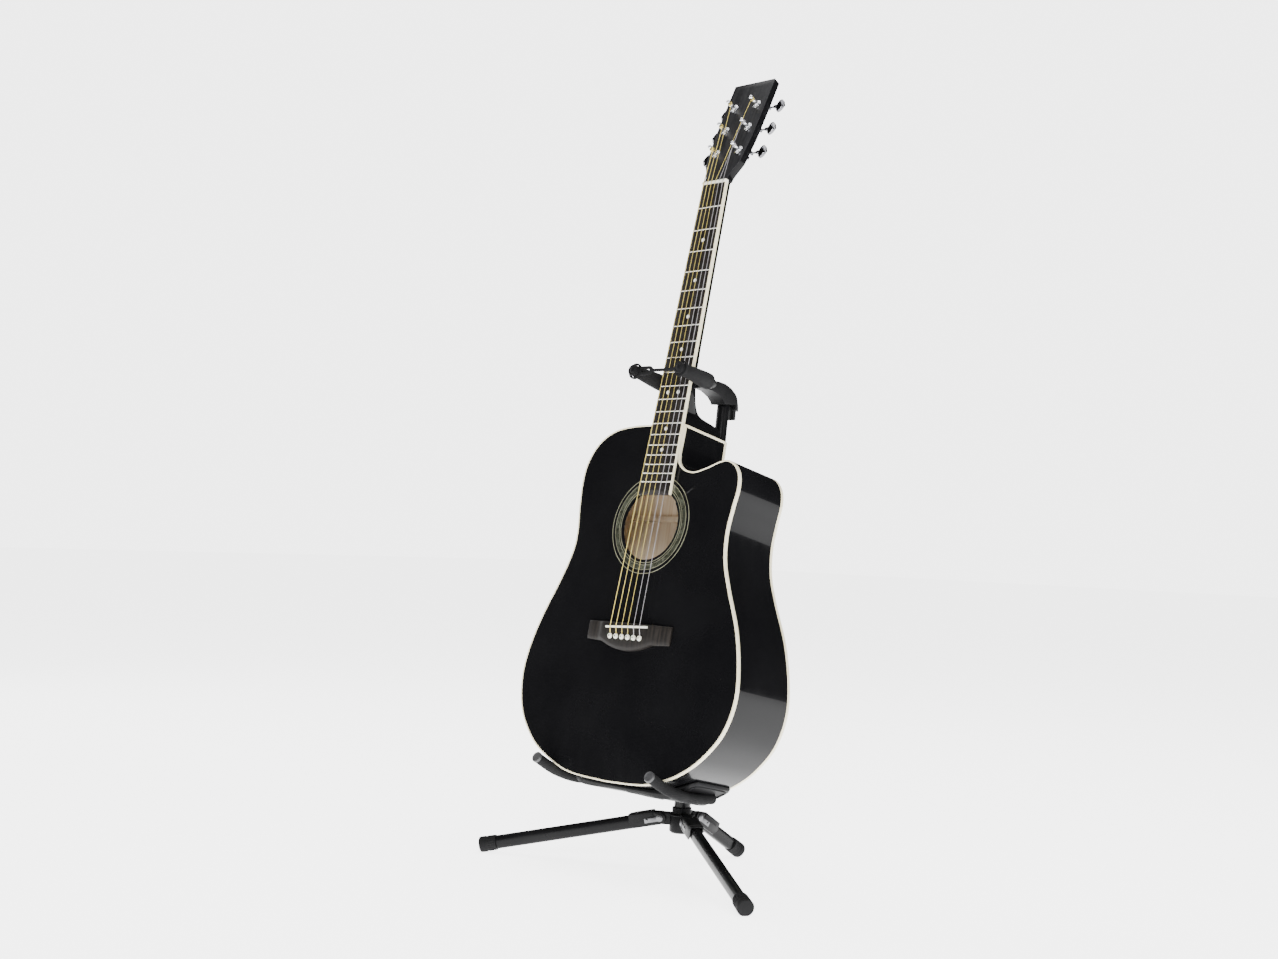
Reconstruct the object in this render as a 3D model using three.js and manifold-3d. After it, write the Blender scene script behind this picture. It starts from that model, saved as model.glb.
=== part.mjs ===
// An acoustic guitar with a cutaway body, standing on a folding tripod stand.
// Millimetres, +Z up. The guitar's front faces -Y and its cutaway is on the +X side.
// The origin is on the floor, under the centre of the bounding box.
import * as THREE from 'three';
import { mergeVertices } from 'three/addons/utils/BufferGeometryUtils.js';
import Module from 'manifold-3d';

const wasm = await Module();
wasm.setup();

// ---------------------------------------------------------------- driving dimensions
const GAP = 0.3;                    // clearance between pieces that rest on each other

// Guitar. Its own frame is u (x) towards the cutaway, v (y) up the neck and w (z) out of the top,
// with the origin on the soundboard under the middle of the saddle.
const SCALE_LENGTH = 650;
const BODY_JOINT_FRET = 14;
const FRET_COUNT = 20;
const LEAN_GUITAR = 12;             // degrees the guitar leans back
const SADDLE_ABOVE_FLOOR = 336.8;
const EDGE_DROP = 3;                // the soundboard falls this far towards its edge
const DOME_WIDTH = 90;              // and does so within this distance of the edge
const BACK_CROWN = 4;
const TOP_THICKNESS = 2.8;
const BACK_THICKNESS = 3;
const SIDE_THICKNESS = 2.4;
const BINDING_WIDTH = 2.2;
const BINDING_HEIGHT = 5.5;
const STRIP_WIDTH = 1.6;            // cream strip down the corner of the cutaway
const BODY_DEPTH = 112;             // under the saddle; the back rises towards the neck
const DEPTH_TAPER = 0.052;          // and falls towards the tail
const SOUNDHOLE_V = 145.4;
const SOUNDHOLE_RADIUS = 50;
const ROSETTE_INNER = 54;
const ROSETTE_OUTER = 70;
const NUT_HALF = 21.7;
const OCTAVE_HALF = 27.5;           // half width of the fingerboard at the twelfth fret
const BOARD_W = 8.2;                // height of the fingerboard's plane at the saddle
const BOARD_FALL = 0.016;           // and its fall for each mm towards the nut
const BOARD_THICKNESS = 6;
const BOARD_END_V = 186.5;
const STRING_SPREAD_SADDLE = 54;
const STRING_SPREAD_NUT = 36;
const STRING_RADII = [0.66, 0.55, 0.45, 0.4, 0.4, 0.4];
const SADDLE_TOP = 12.5;
const SADDLE_SLANT = 0.05;          // radians
const PIN_V = -14;
const HEAD_TILT = 14.5;
const HEAD_THICKNESS = 12;
const HEAD_LENGTH = 180;
const TUNER_ROWS = [51, 93, 134.5];
const TUNER_HALF = 21.2;            // posts to the centre line
const POST_RADIUS = 3;
const TUNER_AXIS_DEPTH = 16.5;      // button axis behind the face of the headstock
const WORM_OFFSET = 4.5;            // button axis above its post
const BUTTON_CENTRE = 50.7;

// Stand. Its frame has z = 0 on the floor and y = 0 under the saddle.
const MAST_LEAN = 5.7;              // degrees
const MAST_Y = 110.6;               // where the mast's axis would meet the floor
const HUB_Y = 118.5;
const PIVOT_Z = 67.5;
const PIVOT_RADIUS = 30;
const LEG_AZIMUTHS = { left: 212, right: 328, rear: 90 };
const LEG_REACH = { left: 289, right: 289, rear: 124 };
const LEG_WIDTH = 14.5;
const LEG_HEIGHT = 19;
const FOOT_RADIUS = 11.2;
const FOOT_LENGTH = 25;
const FOOT_FLAT = 1.2;              // depth of the flat that each foot stands on
const LOWER_TUBE_RADIUS = 11.5;
const UPPER_TUBE_RADIUS = 8.75;
const LOWER_TUBE_TOP = 395;         // heights along the mast from the floor
const UPPER_TUBE_BOTTOM = 300;
const UPPER_TUBE_TOP = 676;
const CRADLE_HALF = 124;
const SEAT_GAP = 0.6;
const ARM_X = 105;
const ARM_RADIUS = 7.2;
const YOKE_HALF = 43;               // middle of the yoke to each prong
const YOKE_V = 355;                 // height of the prongs up the neck
const PRONG_RADIUS = 6.8;
const PAD_RADIUS = 11.5;
const CAP_RADIUS = 7.8;
const STRAP_W = 38.8;
const LEVER_PIVOT = [190.6, 661.8];
const LEVER_HALF = 5.5;
const TONGUE_HALF = 7;              // plates of the hub that the legs are pinned to
const TONGUE_RADIUS = 8.2;
const PIN_RADIUS = 2.8;
const CHEEK_THICKNESS = 1.8;        // steel of the leg brackets
const CHEEK_INNER = 7.6;

// ---------------------------------------------------------------- materials
const finish = (color, roughness, metalness) => new THREE.MeshStandardMaterial(
  { color, roughness, metalness, flatShading: true });
const lacquer = finish(0x050506, 0.12, 0);
const binding = finish(0xf4edd2, 0.35, 0);
const rosewood = finish(0x1b1513, 0.55, 0);
const bone = finish(0xf2efe4, 0.4, 0);
const shell = finish(0x70745c, 0.4, 0);
const chrome = finish(0xc9ccd0, 0.15, 1);
const bronze = finish(0xb08a4a, 0.35, 1);
const steel = finish(0xb9babd, 0.35, 1);
const powderCoat = finish(0x0d0d0e, 0.4, 0.3);
const moulded = finish(0x141415, 0.6, 0);
const rubber = finish(0x1a1a1b, 0.85, 0);

// ---------------------------------------------------------------- solids
// Merges the shared corners of a closed body and turns its faces outwards.
function closed(geometry) {
  const bare = geometry.clone();
  bare.deleteAttribute('normal');
  bare.deleteAttribute('uv');
  const merged = mergeVertices(bare, 1e-4);
  const p = merged.attributes.position;
  const index = merged.index.array;
  const corner = (i) => new THREE.Vector3().fromBufferAttribute(p, index[i]);
  let volume = 0;
  for (let i = 0; i < index.length; i += 3) volume += corner(i).dot(corner(i + 1).cross(corner(i + 2)));
  if (volume < 0) {
    for (let i = 0; i < index.length; i += 3) {
      [index[i + 1], index[i + 2]] = [index[i + 2], index[i + 1]];
    }
  }
  return merged;
}

function toSolid(geometry) {
  const whole = closed(geometry);
  return new wasm.Manifold(new wasm.Mesh({
    numProp: 3,
    vertProperties: new Float32Array(whole.attributes.position.array),
    triVerts: new Uint32Array(whole.index.array),
  }));
}

function toGeometry(solid) {
  const { vertProperties, triVerts } = solid.getMesh();
  const geometry = new THREE.BufferGeometry();
  geometry.setAttribute('position', new THREE.BufferAttribute(new Float32Array(vertProperties), 3));
  geometry.setIndex(new THREE.BufferAttribute(new Uint32Array(triVerts), 1));
  return geometry;
}

const join = (...parts) => toGeometry(parts.map(toSolid).reduce((a, b) => a.add(b)));
const cut = (base, ...tools) => toGeometry(
  tools.map(toSolid).reduce((a, b) => a.subtract(b), toSolid(base)));
const common = (a, b) => toGeometry(toSolid(a).intersect(toSolid(b)));

// Joins loops of equally many points into one closed body. With ends capped it is a lofted
// bar; otherwise the last loop joins the first and the body is a ring.
function loft(loops, capped = true) {
  const count = loops[0].length;
  const points = loops.flat();
  const faces = [];
  const rings = capped ? loops.length - 1 : loops.length;
  for (let i = 0; i < rings; i++) {
    const a = i * count;
    const b = ((i + 1) % loops.length) * count;
    for (let j = 0; j < count; j++) {
      const k = (j + 1) % count;
      faces.push(a + j, a + k, b + k, a + j, b + k, b + j);
    }
  }
  if (capped) {
    for (const [loop, flip] of [[0, true], [loops.length - 1, false]]) {
      const centre = new THREE.Vector3();
      loops[loop].forEach((p) => centre.add(p));
      points.push(centre.divideScalar(count));
      for (let j = 0; j < count; j++) {
        const a = loop * count + j;
        const b = loop * count + ((j + 1) % count);
        faces.push(...(flip ? [points.length - 1, b, a] : [points.length - 1, a, b]));
      }
    }
  }
  const geometry = new THREE.BufferGeometry();
  const coordinates = points.flatMap((p) => [p.x, p.y, p.z]);
  geometry.setAttribute('position', new THREE.Float32BufferAttribute(coordinates, 3));
  geometry.setIndex(faces);
  return geometry;
}

const polygon = (points) => new THREE.Shape(points.map(([x, y]) => new THREE.Vector2(x, y)));

// A flat outline in x and y, made solid from z = low to z = high.
function slab(shape, low, high, curveSegments = 6) {
  const settings = { depth: high - low, bevelEnabled: false, curveSegments };
  return new THREE.ExtrudeGeometry(shape, settings).translate(0, 0, low);
}

// An outline in y and z, made solid from x = -half to x = half.
const wall = (points, half) => slab(polygon(points), -half, half)
  .rotateX(Math.PI / 2).rotateZ(Math.PI / 2);

function box(x, y, z, [w, d, h]) {
  return new THREE.BoxGeometry(w, d, h).translate(x, y, z);
}

// A solid of revolution about z from [radius, height] pairs that start and end on the axis.
const turned = (profile, sides = 24) => new THREE.LatheGeometry(
  profile.map(([r, z]) => new THREE.Vector2(r, z)), sides).rotateX(Math.PI / 2);

const rod = (radius, low, high, sides = 20) => turned(
  [[0, low], [radius, low], [radius, high], [0, high]], sides);

function pipe(inner, outer, low, high, sides = 24) {
  return turned([[inner, low], [outer, low], [outer, high], [inner, high], [inner, low]], sides);
}

function circle(radius, sides) {
  const shape = new THREE.Shape();
  for (let i = 0; i < sides; i++) {
    const a = (i / sides) * 2 * Math.PI;
    shape[i ? 'lineTo' : 'moveTo'](radius * Math.cos(a), radius * Math.sin(a));
  }
  return shape;
}

function bentRod(points, section, steps) {
  const path = new THREE.CatmullRomCurve3(points.map(([x, y, z]) => new THREE.Vector3(x, y, z)));
  return new THREE.ExtrudeGeometry(section, { steps, extrudePath: path, bevelEnabled: false });
}

function mesh(name, geometry, material) {
  const piece = new THREE.Mesh(closed(geometry), material.clone());
  piece.name = name;
  return piece;
}

// ---------------------------------------------------------------- guitar: outline and surfaces
const fretV = (n) => SCALE_LENGTH * 2 ** (-n / 12);
const JOINT_V = fretV(BODY_JOINT_FRET);
const boardTop = (v) => BOARD_W - BOARD_FALL * v;
const boardHalf = (v) => NUT_HALF + (OCTAVE_HALF - NUT_HALF) * (SCALE_LENGTH - v) / (SCALE_LENGTH / 2);
const backW = (v) => -BODY_DEPTH + DEPTH_TAPER * v;

// Points of the square-shouldered body: up the plain side from the tail to the shoulder, and down
// the cutaway side from the corner beside the fingerboard to the tail.
const PLAIN_SIDE = [
  [0, -208], [-64.5, -204.8], [-104.5, -194], [-149, -171], [-183, -133], [-197.2, -88], [-195.5, -45],
  [-182, 4], [-157.5, 62], [-144, 103], [-142.3, 132], [-148, 170], [-151.3, 208], [-146.5, 238],
  [-129.5, 265.5], [-100, 283], [-62, JOINT_V - 0.5],
];
const CUTAWAY_CORNER = [27.8, JOINT_V];
const CUTAWAY_SIDE = [
  [27, 247], [30.5, 234.5], [42, 225], [60, 221.5], [82, 227.3], [104, 235.8], [118, 237.2], [131, 231],
  [140.5, 217.5], [143.2, 198], [139.8, 172], [136.8, 138], [141.5, 101], [156, 63.5], [181, 10],
  [195.5, -42], [198.5, -84], [187, -124.5], [162, -157], [134.5, -179], [104.3, -194], [64.5, -204.8],
  [0, -208],
];

const bodyOutline = (() => {
  const smooth = (points) => new THREE.SplineCurve(points.map(([u, v]) => new THREE.Vector2(u, v)))
    .getPoints(2 * (points.length - 1)).slice(0, -1);
  const shoulder = [new THREE.Vector2(-62, JOINT_V - 0.5), new THREE.Vector2(-28, JOINT_V)];
  const corner = new THREE.Vector2(...CUTAWAY_CORNER);
  return [...smooth(PLAIN_SIDE), ...shoulder, corner, ...smooth(CUTAWAY_SIDE)];
})();

// The outline moved inwards by the given distance, point by point.
function inset(distance) {
  const n = bodyOutline.length;
  return bodyOutline.map((p, i) => {
    const before = bodyOutline[(i + n - 1) % n];
    const after = bodyOutline[(i + 1) % n];
    const a = p.clone().sub(before).normalize();
    const b = after.clone().sub(p).normalize();
    const normal = new THREE.Vector2(a.y + b.y, -a.x - b.x).normalize();
    const spread = Math.max(0.6, normal.dot(new THREE.Vector2(a.y, -a.x)));
    return p.clone().addScaledVector(normal, distance / spread);
  });
}

const drop = (fromEdge) => EDGE_DROP * Math.max(0, 1 - fromEdge / DOME_WIDTH) ** 2;
const at = (loop, w) => loop.map((p) => new THREE.Vector3(p.x, p.y, typeof w === 'function' ? w(p) : w));
const mix = (from, to, t) => from.map((p, i) => p.clone().lerp(to[i], t));

// ---------------------------------------------------------------- guitar: body
function soundboard() {
  const rim = inset(BINDING_WIDTH + GAP);
  const hole = rim.map((p) => {
    const away = p.clone().sub(new THREE.Vector2(0, SOUNDHOLE_V)).normalize();
    return away.multiplyScalar(SOUNDHOLE_RADIUS).add(new THREE.Vector2(0, SOUNDHOLE_V));
  });
  const rings = [0, 0.4, 0.75, 1];
  const surface = (down) => rings.map((t) => mix(hole, rim, t).map((p, i) => {
    const fromEdge = p.distanceTo(rim[i]);
    return new THREE.Vector3(p.x, p.y, -drop(fromEdge) - down);
  }));
  return loft([...surface(0), ...surface(TOP_THICKNESS).reverse()], false);
}

function back() {
  const rim = inset(BINDING_WIDTH + GAP);
  const middle = rim.map(() => new THREE.Vector2(0, 20));
  const surface = (up) => [0.04, 0.6, 1].map((t) => mix(middle, rim, t).map((p) => (
    new THREE.Vector3(p.x, p.y, backW(p.y) - BACK_CROWN * (1 - t * t) + up))));
  return loft([...surface(0), ...surface(BACK_THICKNESS).reverse()], true);
}

function hoop(outer, inner, low, high) {
  const outside = inset(outer);
  const inside = inset(inner);
  return loft([at(outside, low), at(outside, high), at(inside, high), at(inside, low)], false);
}

// A square strip down the corner where the cutaway meets the neck.
function cornerStrip(width, low, high) {
  const [u, v] = CUTAWAY_CORNER;
  return box(u - width / 2, v - width / 2, (low + high) / 2, [width, width, high - low]);
}

function sides() {
  const top = -EDGE_DROP - BINDING_HEIGHT - GAP;
  const bottom = (p) => backW(p.y) + BINDING_HEIGHT + GAP;
  const notch = cornerStrip(STRIP_WIDTH + 2 * GAP, -BODY_DEPTH - 8, 0);
  return cut(hoop(0, SIDE_THICKNESS, bottom, top), notch);
}

function frontBinding() {
  const low = backW(JOINT_V) + BINDING_HEIGHT + GAP;
  const strip = cornerStrip(STRIP_WIDTH, low, -EDGE_DROP - 1);
  return join(hoop(0, BINDING_WIDTH, -EDGE_DROP - BINDING_HEIGHT, -EDGE_DROP + 0.1), strip);
}

const backBinding = () => hoop(0, BINDING_WIDTH, (p) => backW(p.y), (p) => backW(p.y) + BINDING_HEIGHT);

function rosette() {
  const ring = pipe(ROSETTE_INNER, ROSETTE_OUTER, GAP, GAP + 0.5, 40).translate(0, SOUNDHOLE_V, 0);
  const gapForBoard = box(0, SOUNDHOLE_V + 60, 0, [2 * boardHalf(200) + 2, 80, 10]);
  return cut(ring, gapForBoard);
}

function bridge() {
  const outline = new THREE.Shape();
  outline.moveTo(-76.5, 6);
  outline.lineTo(76.5, 6);
  outline.lineTo(76, -19.5);
  outline.lineTo(46, -21.5);
  outline.quadraticCurveTo(22, -32, 0, -32);
  outline.quadraticCurveTo(-22, -32, -46, -21.5);
  outline.lineTo(-76, -19.5);
  outline.closePath();
  const wings = slab(outline, GAP, 4);
  const middle = common(slab(outline, GAP, 8.5), box(0, -10, 5, [95, 60, 20]));
  const slot = box(0, 0, 8, [77, 3.4, 9.4]).rotateZ(SADDLE_SLANT);
  return cut(join(wings, middle), slot);
}

function saddle() {
  const shoulder = SADDLE_TOP - 0.8;
  const blank = wall([[-1.4, 3.6], [1.4, 3.6], [1.4, shoulder], [0, SADDLE_TOP], [-1.4, shoulder]], 38);
  return blank.rotateZ(SADDLE_SLANT);
}

// ---------------------------------------------------------------- guitar: neck
const NECK_TOP = (v) => boardTop(v) - BOARD_THICKNESS - GAP;
const HEEL_V = JOINT_V + GAP;
const NUT_LENGTH = 6;
const HEAD_START = new THREE.Vector3(0, SCALE_LENGTH + NUT_LENGTH, -4.6);

function neckShaft() {
  const section = (v, depth) => {
    const half = boardHalf(v) - 0.1;
    const top = NECK_TOP(v);
    const loop = [half, 0, -half].map((u) => new THREE.Vector3(u, v, top));
    for (let i = 1; i < 12; i++) {
      const a = Math.PI + (i / 12) * Math.PI;
      loop.push(new THREE.Vector3(half * Math.cos(a), v, top + depth * Math.sin(a)));
    }
    return loop;
  };
  const nutEnd = SCALE_LENGTH + NUT_LENGTH + 0.5;
  return loft([section(HEEL_V, 17), section(380, 16.2), section(560, 15.3), section(nutEnd, 14.5)]);
}

function heel() {
  const stations = [[HEEL_V, -98.5, 27.4], [303, -98.5, 25], [307, -90, 21], [309, -68, 20],
    [311, -53, 20], [315, -42.5, 21], [323, -33, 23], [334, -27, 25], [352, -21.5, 26.3]];
  const loops = stations.map(([v, low, half]) => {
    const top = NECK_TOP(v) - 2;
    const loop = [];
    for (let i = 0; i <= 10; i++) {
      const a = (i / 10) * Math.PI;
      const x = half * Math.sign(Math.cos(a)) * Math.abs(Math.cos(a)) ** 0.7;
      loop.push(new THREE.Vector3(x, v, top - (top - low) * Math.sin(a) ** 0.45));
    }
    return loop;
  });
  return loft(loops);
}

function headstock() {
  const outline = new THREE.Shape();
  outline.moveTo(NUT_HALF, 0);
  outline.lineTo(NUT_HALF + 0.5, 6);
  outline.quadraticCurveTo(25, 20, 32.8, 33);
  outline.lineTo(36.6, 76);
  outline.lineTo(37.8, 130);
  outline.lineTo(37.8, HEAD_LENGTH);
  outline.lineTo(-37.8, HEAD_LENGTH);
  outline.lineTo(-37.8, 130);
  outline.lineTo(-36.6, 76);
  outline.lineTo(-32.8, 33);
  outline.quadraticCurveTo(-25, 20, -NUT_HALF - 0.5, 6);
  outline.lineTo(-NUT_HALF, 0);
  const blade = slab(outline, -HEAD_THICKNESS, 0);
  const volute = wall([[-12, -10], [30, -8], [22, -16], [-4, -17.5], [-12, -16]], NUT_HALF - 3);
  const holes = tunerPlaces().map(({ u, s }) => rod(POST_RADIUS + 0.4, -30, 20, 16).translate(u, s, 0));
  const head = cut(join(blade, volute), ...holes);
  return head.rotateX(-HEAD_TILT * Math.PI / 180).translate(...HEAD_START);
}

function tunerPlaces() {
  // The strings run in order from the plain side's lowest post, round the top, to the cutaway side.
  const left = TUNER_ROWS.map((s, i) => ({ u: -TUNER_HALF, s, name: i + 1 }));
  const right = TUNER_ROWS.map((s, i) => ({ u: TUNER_HALF, s, name: 6 - i })).reverse();
  return [...left, ...right];
}

const neck = () => join(neckShaft(), heel(), headstock());

function fingerboard() {
  const nutEnd = SCALE_LENGTH;
  const plan = new THREE.Shape();
  plan.moveTo(-boardHalf(BOARD_END_V), BOARD_END_V);
  plan.lineTo(-NUT_HALF, nutEnd - GAP);
  plan.lineTo(NUT_HALF, nutEnd - GAP);
  plan.lineTo(boardHalf(BOARD_END_V), BOARD_END_V);
  plan.quadraticCurveTo(0, BOARD_END_V + 13, -boardHalf(BOARD_END_V), BOARD_END_V);
  const onTop = (v) => -drop(JOINT_V - v) + GAP + 0.1;
  const underneath = [215, 235, 255, 272, 282, JOINT_V].map((v) => [v, onTop(v)]);
  const start = BOARD_END_V - 5;
  const side = wall([[start, GAP + 0.1], ...underneath,
    [JOINT_V + 0.1, boardTop(JOINT_V) - BOARD_THICKNESS], [nutEnd, boardTop(nutEnd) - BOARD_THICKNESS],
    [nutEnd, boardTop(nutEnd)], [start, boardTop(start)]], 40);
  return common(slab(plan, -30, 40), side);
}

function nut() {
  const top = boardTop(SCALE_LENGTH) + 2;
  const end = SCALE_LENGTH + NUT_LENGTH - 1.3;
  const profile = [[SCALE_LENGTH, top], [SCALE_LENGTH, -8.2], [end, -8.2], [end, top - 1.6],
    [SCALE_LENGTH + 2, top]];
  return wall(profile, NUT_HALF);
}

// ---------------------------------------------------------------- guitar: tuners and strings
function tunerHousing(side) {
  const body = box(side * -3, WORM_OFFSET / 2, -HEAD_THICKNESS - GAP - 4.8, [17, 17, 9.6]);
  const collar = rod(3.6, 0, 6, 14).rotateY(side * Math.PI / 2)
    .translate(side * (5.5 - GAP), WORM_OFFSET, -TUNER_AXIS_DEPTH);
  const shaftHole = rod(POST_RADIUS + 0.4, -16.6, 0, 14);
  const wormHole = rod(1.7, 0, 12, 12).rotateY(side * Math.PI / 2)
    .translate(side * 4.5, WORM_OFFSET, -TUNER_AXIS_DEPTH);
  return cut(join(body, collar), shaftHole, wormHole);
}

const tunerPost = () => turned([[0, -16], [POST_RADIUS, -16], [POST_RADIUS, 8], [2.3, 10], [2.3, 12.5],
  [POST_RADIUS, 14.5], [POST_RADIUS, 17.4], [0, 18]], 12);

function tunerButton(side) {
  const key = polygon([[-7, -5], [-7, 5], [-2.5, 9], [4.5, 10], [7.8, 7], [7.8, -7], [4.5, -10],
    [-2.5, -9]]);
  const grip = slab(key, -3.1, 3.1).translate(BUTTON_CENTRE - TUNER_HALF, 0, 0);
  const stem = rod(1.35, 5, BUTTON_CENTRE - TUNER_HALF - 6, 12).rotateY(Math.PI / 2);
  return join(grip, stem).rotateZ(side > 0 ? 0 : Math.PI);
}

function tuners() {
  const group = new THREE.Group();
  group.position.copy(HEAD_START);
  group.rotation.x = -HEAD_TILT * Math.PI / 180;
  tunerPlaces().forEach(({ u, s, name }) => {
    const side = Math.sign(u);
    const place = new THREE.Group();
    place.position.set(u, s, 0);
    const button = mesh(`tuner_button_${name}`, tunerButton(side), chrome);
    button.position.set(0, WORM_OFFSET, -TUNER_AXIS_DEPTH);
    place.add(
      mesh(`tuner_housing_${name}`, tunerHousing(side), chrome),
      mesh(`tuner_post_${name}`, tunerPost(), chrome),
      button,
    );
    group.add(place);
  });
  return group;
}

function strings() {
  const tilt = HEAD_TILT * Math.PI / 180;
  const onHead = ({ u, s }, height) => [u, HEAD_START.y + s * Math.cos(tilt) + height * Math.sin(tilt),
    HEAD_START.z - s * Math.sin(tilt) + height * Math.cos(tilt)];
  const order = ['6', '5', '4', '3', '2', '1'];
  return tunerPlaces().map((place, i) => {
    const radius = STRING_RADII[i];
    const t = i / 5 - 0.5;
    const atSaddle = t * STRING_SPREAD_SADDLE;
    const atNut = t * STRING_SPREAD_NUT;
    const nutTop = boardTop(SCALE_LENGTH) + 2;
    const inward = place.u - Math.sign(place.u) * (POST_RADIUS + radius + GAP);
    const points = [
      [t * 55, PIN_V + 3, 9.2 + radius],
      [atSaddle, SADDLE_SLANT * atSaddle, SADDLE_TOP + radius + GAP],
      [atNut, SCALE_LENGTH + 2.5, nutTop + radius + GAP],
      onHead({ u: inward, s: place.s - 1 }, 11.2),
    ];
    const corners = points.map(([x, y, z]) => new THREE.Vector3(x, y, z));
    return mesh(`string_${order[i]}`, wire(corners, radius), i < 4 ? bronze : steel);
  });
}

// A straight-sided wire through the corner points.
function wire(corners, radius) {
  const sides = 6;
  const loops = corners.map((p) => {
    const loop = [];
    for (let i = 0; i < sides; i++) {
      const a = (i / sides) * 2 * Math.PI;
      loop.push(new THREE.Vector3(p.x + radius * Math.cos(a), p.y, p.z + radius * Math.sin(a)));
    }
    return loop;
  });
  return loft(loops);
}

function guitar() {
  const group = new THREE.Group();
  group.rotation.x = (90 - LEAN_GUITAR) * Math.PI / 180;
  group.position.z = SADDLE_ABOVE_FLOOR;
  group.add(
    mesh('soundboard', soundboard(), lacquer),
    mesh('sides', sides(), lacquer),
    mesh('back', back(), lacquer),
    mesh('front_binding', frontBinding(), binding),
    mesh('back_binding', backBinding(), binding),
    mesh('rosette', rosette(), shell),
    mesh('bridge', bridge(), rosewood),
    mesh('saddle', saddle(), bone),
    mesh('neck', neck(), lacquer),
    mesh('fingerboard', fingerboard(), rosewood),
    mesh('nut', nut(), bone),
    tuners(),
    ...strings(),
  );
  return group;
}

// ---------------------------------------------------------------- stand: hub and legs
function hub() {
  const core = turned([[0, 48.6], [14.5, 48.6], [17, 51], [17, 72], [15, 75.3], [13.6, 75.3], [13.6, 83.7],
    [0, 83.7]]);
  const tongues = Object.values(LEG_AZIMUTHS).map((azimuth) => {
    const plate = box(20, 0, PIVOT_Z, [20, 2 * TONGUE_HALF, 2 * TONGUE_RADIUS]);
    const end = rod(TONGUE_RADIUS, -TONGUE_HALF, TONGUE_HALF).rotateX(Math.PI / 2);
    end.translate(PIVOT_RADIUS, 0, PIVOT_Z);
    const hole = rod(PIN_RADIUS + 0.4, -20, 20, 14).rotateX(Math.PI / 2);
    hole.translate(PIVOT_RADIUS, 0, PIVOT_Z);
    return cut(join(plate, end), hole).rotateZ(azimuth * Math.PI / 180);
  });
  return cut(join(core, ...tongues), mastRod(LOWER_TUBE_RADIUS + GAP, 55, 120).translate(0, -HUB_Y, 0));
}

// Each leg is drawn along +x from its pivot and then tipped down to the floor.
function legSlope(side) {
  const reach = LEG_REACH[side];
  let slope = 0.2;
  for (let i = 0; i < 20; i++) {
    const endX = reach + FOOT_RADIUS * Math.sin(slope);
    const endZ = FOOT_RADIUS * Math.cos(slope) - FOOT_FLAT;
    slope = Math.atan2(PIVOT_Z - endZ, endX - PIVOT_RADIUS);
  }
  const length = (PIVOT_Z - FOOT_RADIUS * Math.cos(slope) + FOOT_FLAT) / Math.sin(slope);
  return { slope, length };
}

function oval(width, height, sides = 24) {
  const shape = new THREE.Shape();
  for (let i = 0; i < sides; i++) {
    const a = (i / sides) * 2 * Math.PI;
    const x = (width / 2) * Math.sign(Math.cos(a)) * Math.abs(Math.cos(a)) ** 0.75;
    const y = (height / 2) * Math.sign(Math.sin(a)) * Math.abs(Math.sin(a)) ** 0.75;
    shape[i ? 'lineTo' : 'moveTo'](x, y);
  }
  return shape;
}

// An outline across the leg (y, z), made solid from x = low to x = high.
const along = (shape, low, high) => slab(shape, low, high).rotateX(Math.PI / 2).rotateZ(Math.PI / 2);

function legTube(length) {
  return along(oval(LEG_WIDTH, LEG_HEIGHT), 13.5, length - FOOT_LENGTH + 12);
}

function legBracket() {
  const side = polygon([[0, -8.5], [38, -8.5], [44, 0], [44, 10.6], [10.5, 10.6], [0, 8.5]]);
  const cheek = join(slab(side, 0, CHEEK_THICKNESS), rod(8.5, 0, CHEEK_THICKNESS, 16));
  const holed = cut(cheek, rod(PIN_RADIUS + 0.4, -2, 5, 14)).rotateX(Math.PI / 2);
  const near = holed.clone().translate(0, -CHEEK_INNER, 0);
  const far = holed.clone().translate(0, CHEEK_INNER + CHEEK_THICKNESS, 0);
  const web = box(27, 0, 10.7, [33, 2 * (CHEEK_INNER + CHEEK_THICKNESS), CHEEK_THICKNESS]);
  return join(near, far, web);
}

function legPin() {
  const half = CHEEK_INNER + CHEEK_THICKNESS + GAP;
  return turned([[0, -half - 1.5], [4.8, -half - 0.8], [4.8, -half], [PIN_RADIUS, -half],
    [PIN_RADIUS, half], [4.8, half], [4.8, half + 0.8], [0, half + 1.5]], 14).rotateX(Math.PI / 2);
}

function foot(length, slope) {
  const start = length - FOOT_LENGTH;
  const boot = turned([[0, start], [10.6, start], [10.6, start + 12], [FOOT_RADIUS, start + 18],
    [FOOT_RADIUS, length], [0, length]]).rotateY(Math.PI / 2);
  const socket = along(oval(LEG_WIDTH + 2 * GAP, LEG_HEIGHT + 2 * GAP), start - 5, start + 12 + GAP);
  const underFloor = box(length, 0, -PIVOT_Z - 50, [200, 60, 100]).rotateY(-slope);
  return cut(boot, socket, underFloor);
}

function leg(side) {
  const { slope, length } = legSlope(side);
  const turn = new THREE.Group();
  turn.rotation.z = LEG_AZIMUTHS[side] * Math.PI / 180;
  const tip = new THREE.Group();
  tip.position.set(PIVOT_RADIUS, 0, PIVOT_Z);
  tip.rotation.y = slope;
  tip.add(
    mesh(`leg_${side}`, legTube(length), powderCoat),
    mesh(`leg_bracket_${side}`, legBracket(), steel),
    mesh(`leg_pin_${side}`, legPin(), steel),
    mesh(`foot_${side}`, foot(length, slope), rubber),
  );
  turn.add(tip);
  return turn;
}

// ---------------------------------------------------------------- stand: mast, cradle and yoke
// Pieces on the mast are drawn with their z along it, measured from where its axis meets the floor.
const alongMast = (geometry) => geometry.rotateX(-MAST_LEAN * Math.PI / 180).translate(0, MAST_Y, 0);
const mastRod = (radius, low, high) => alongMast(rod(radius, low, high, 24));

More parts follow.
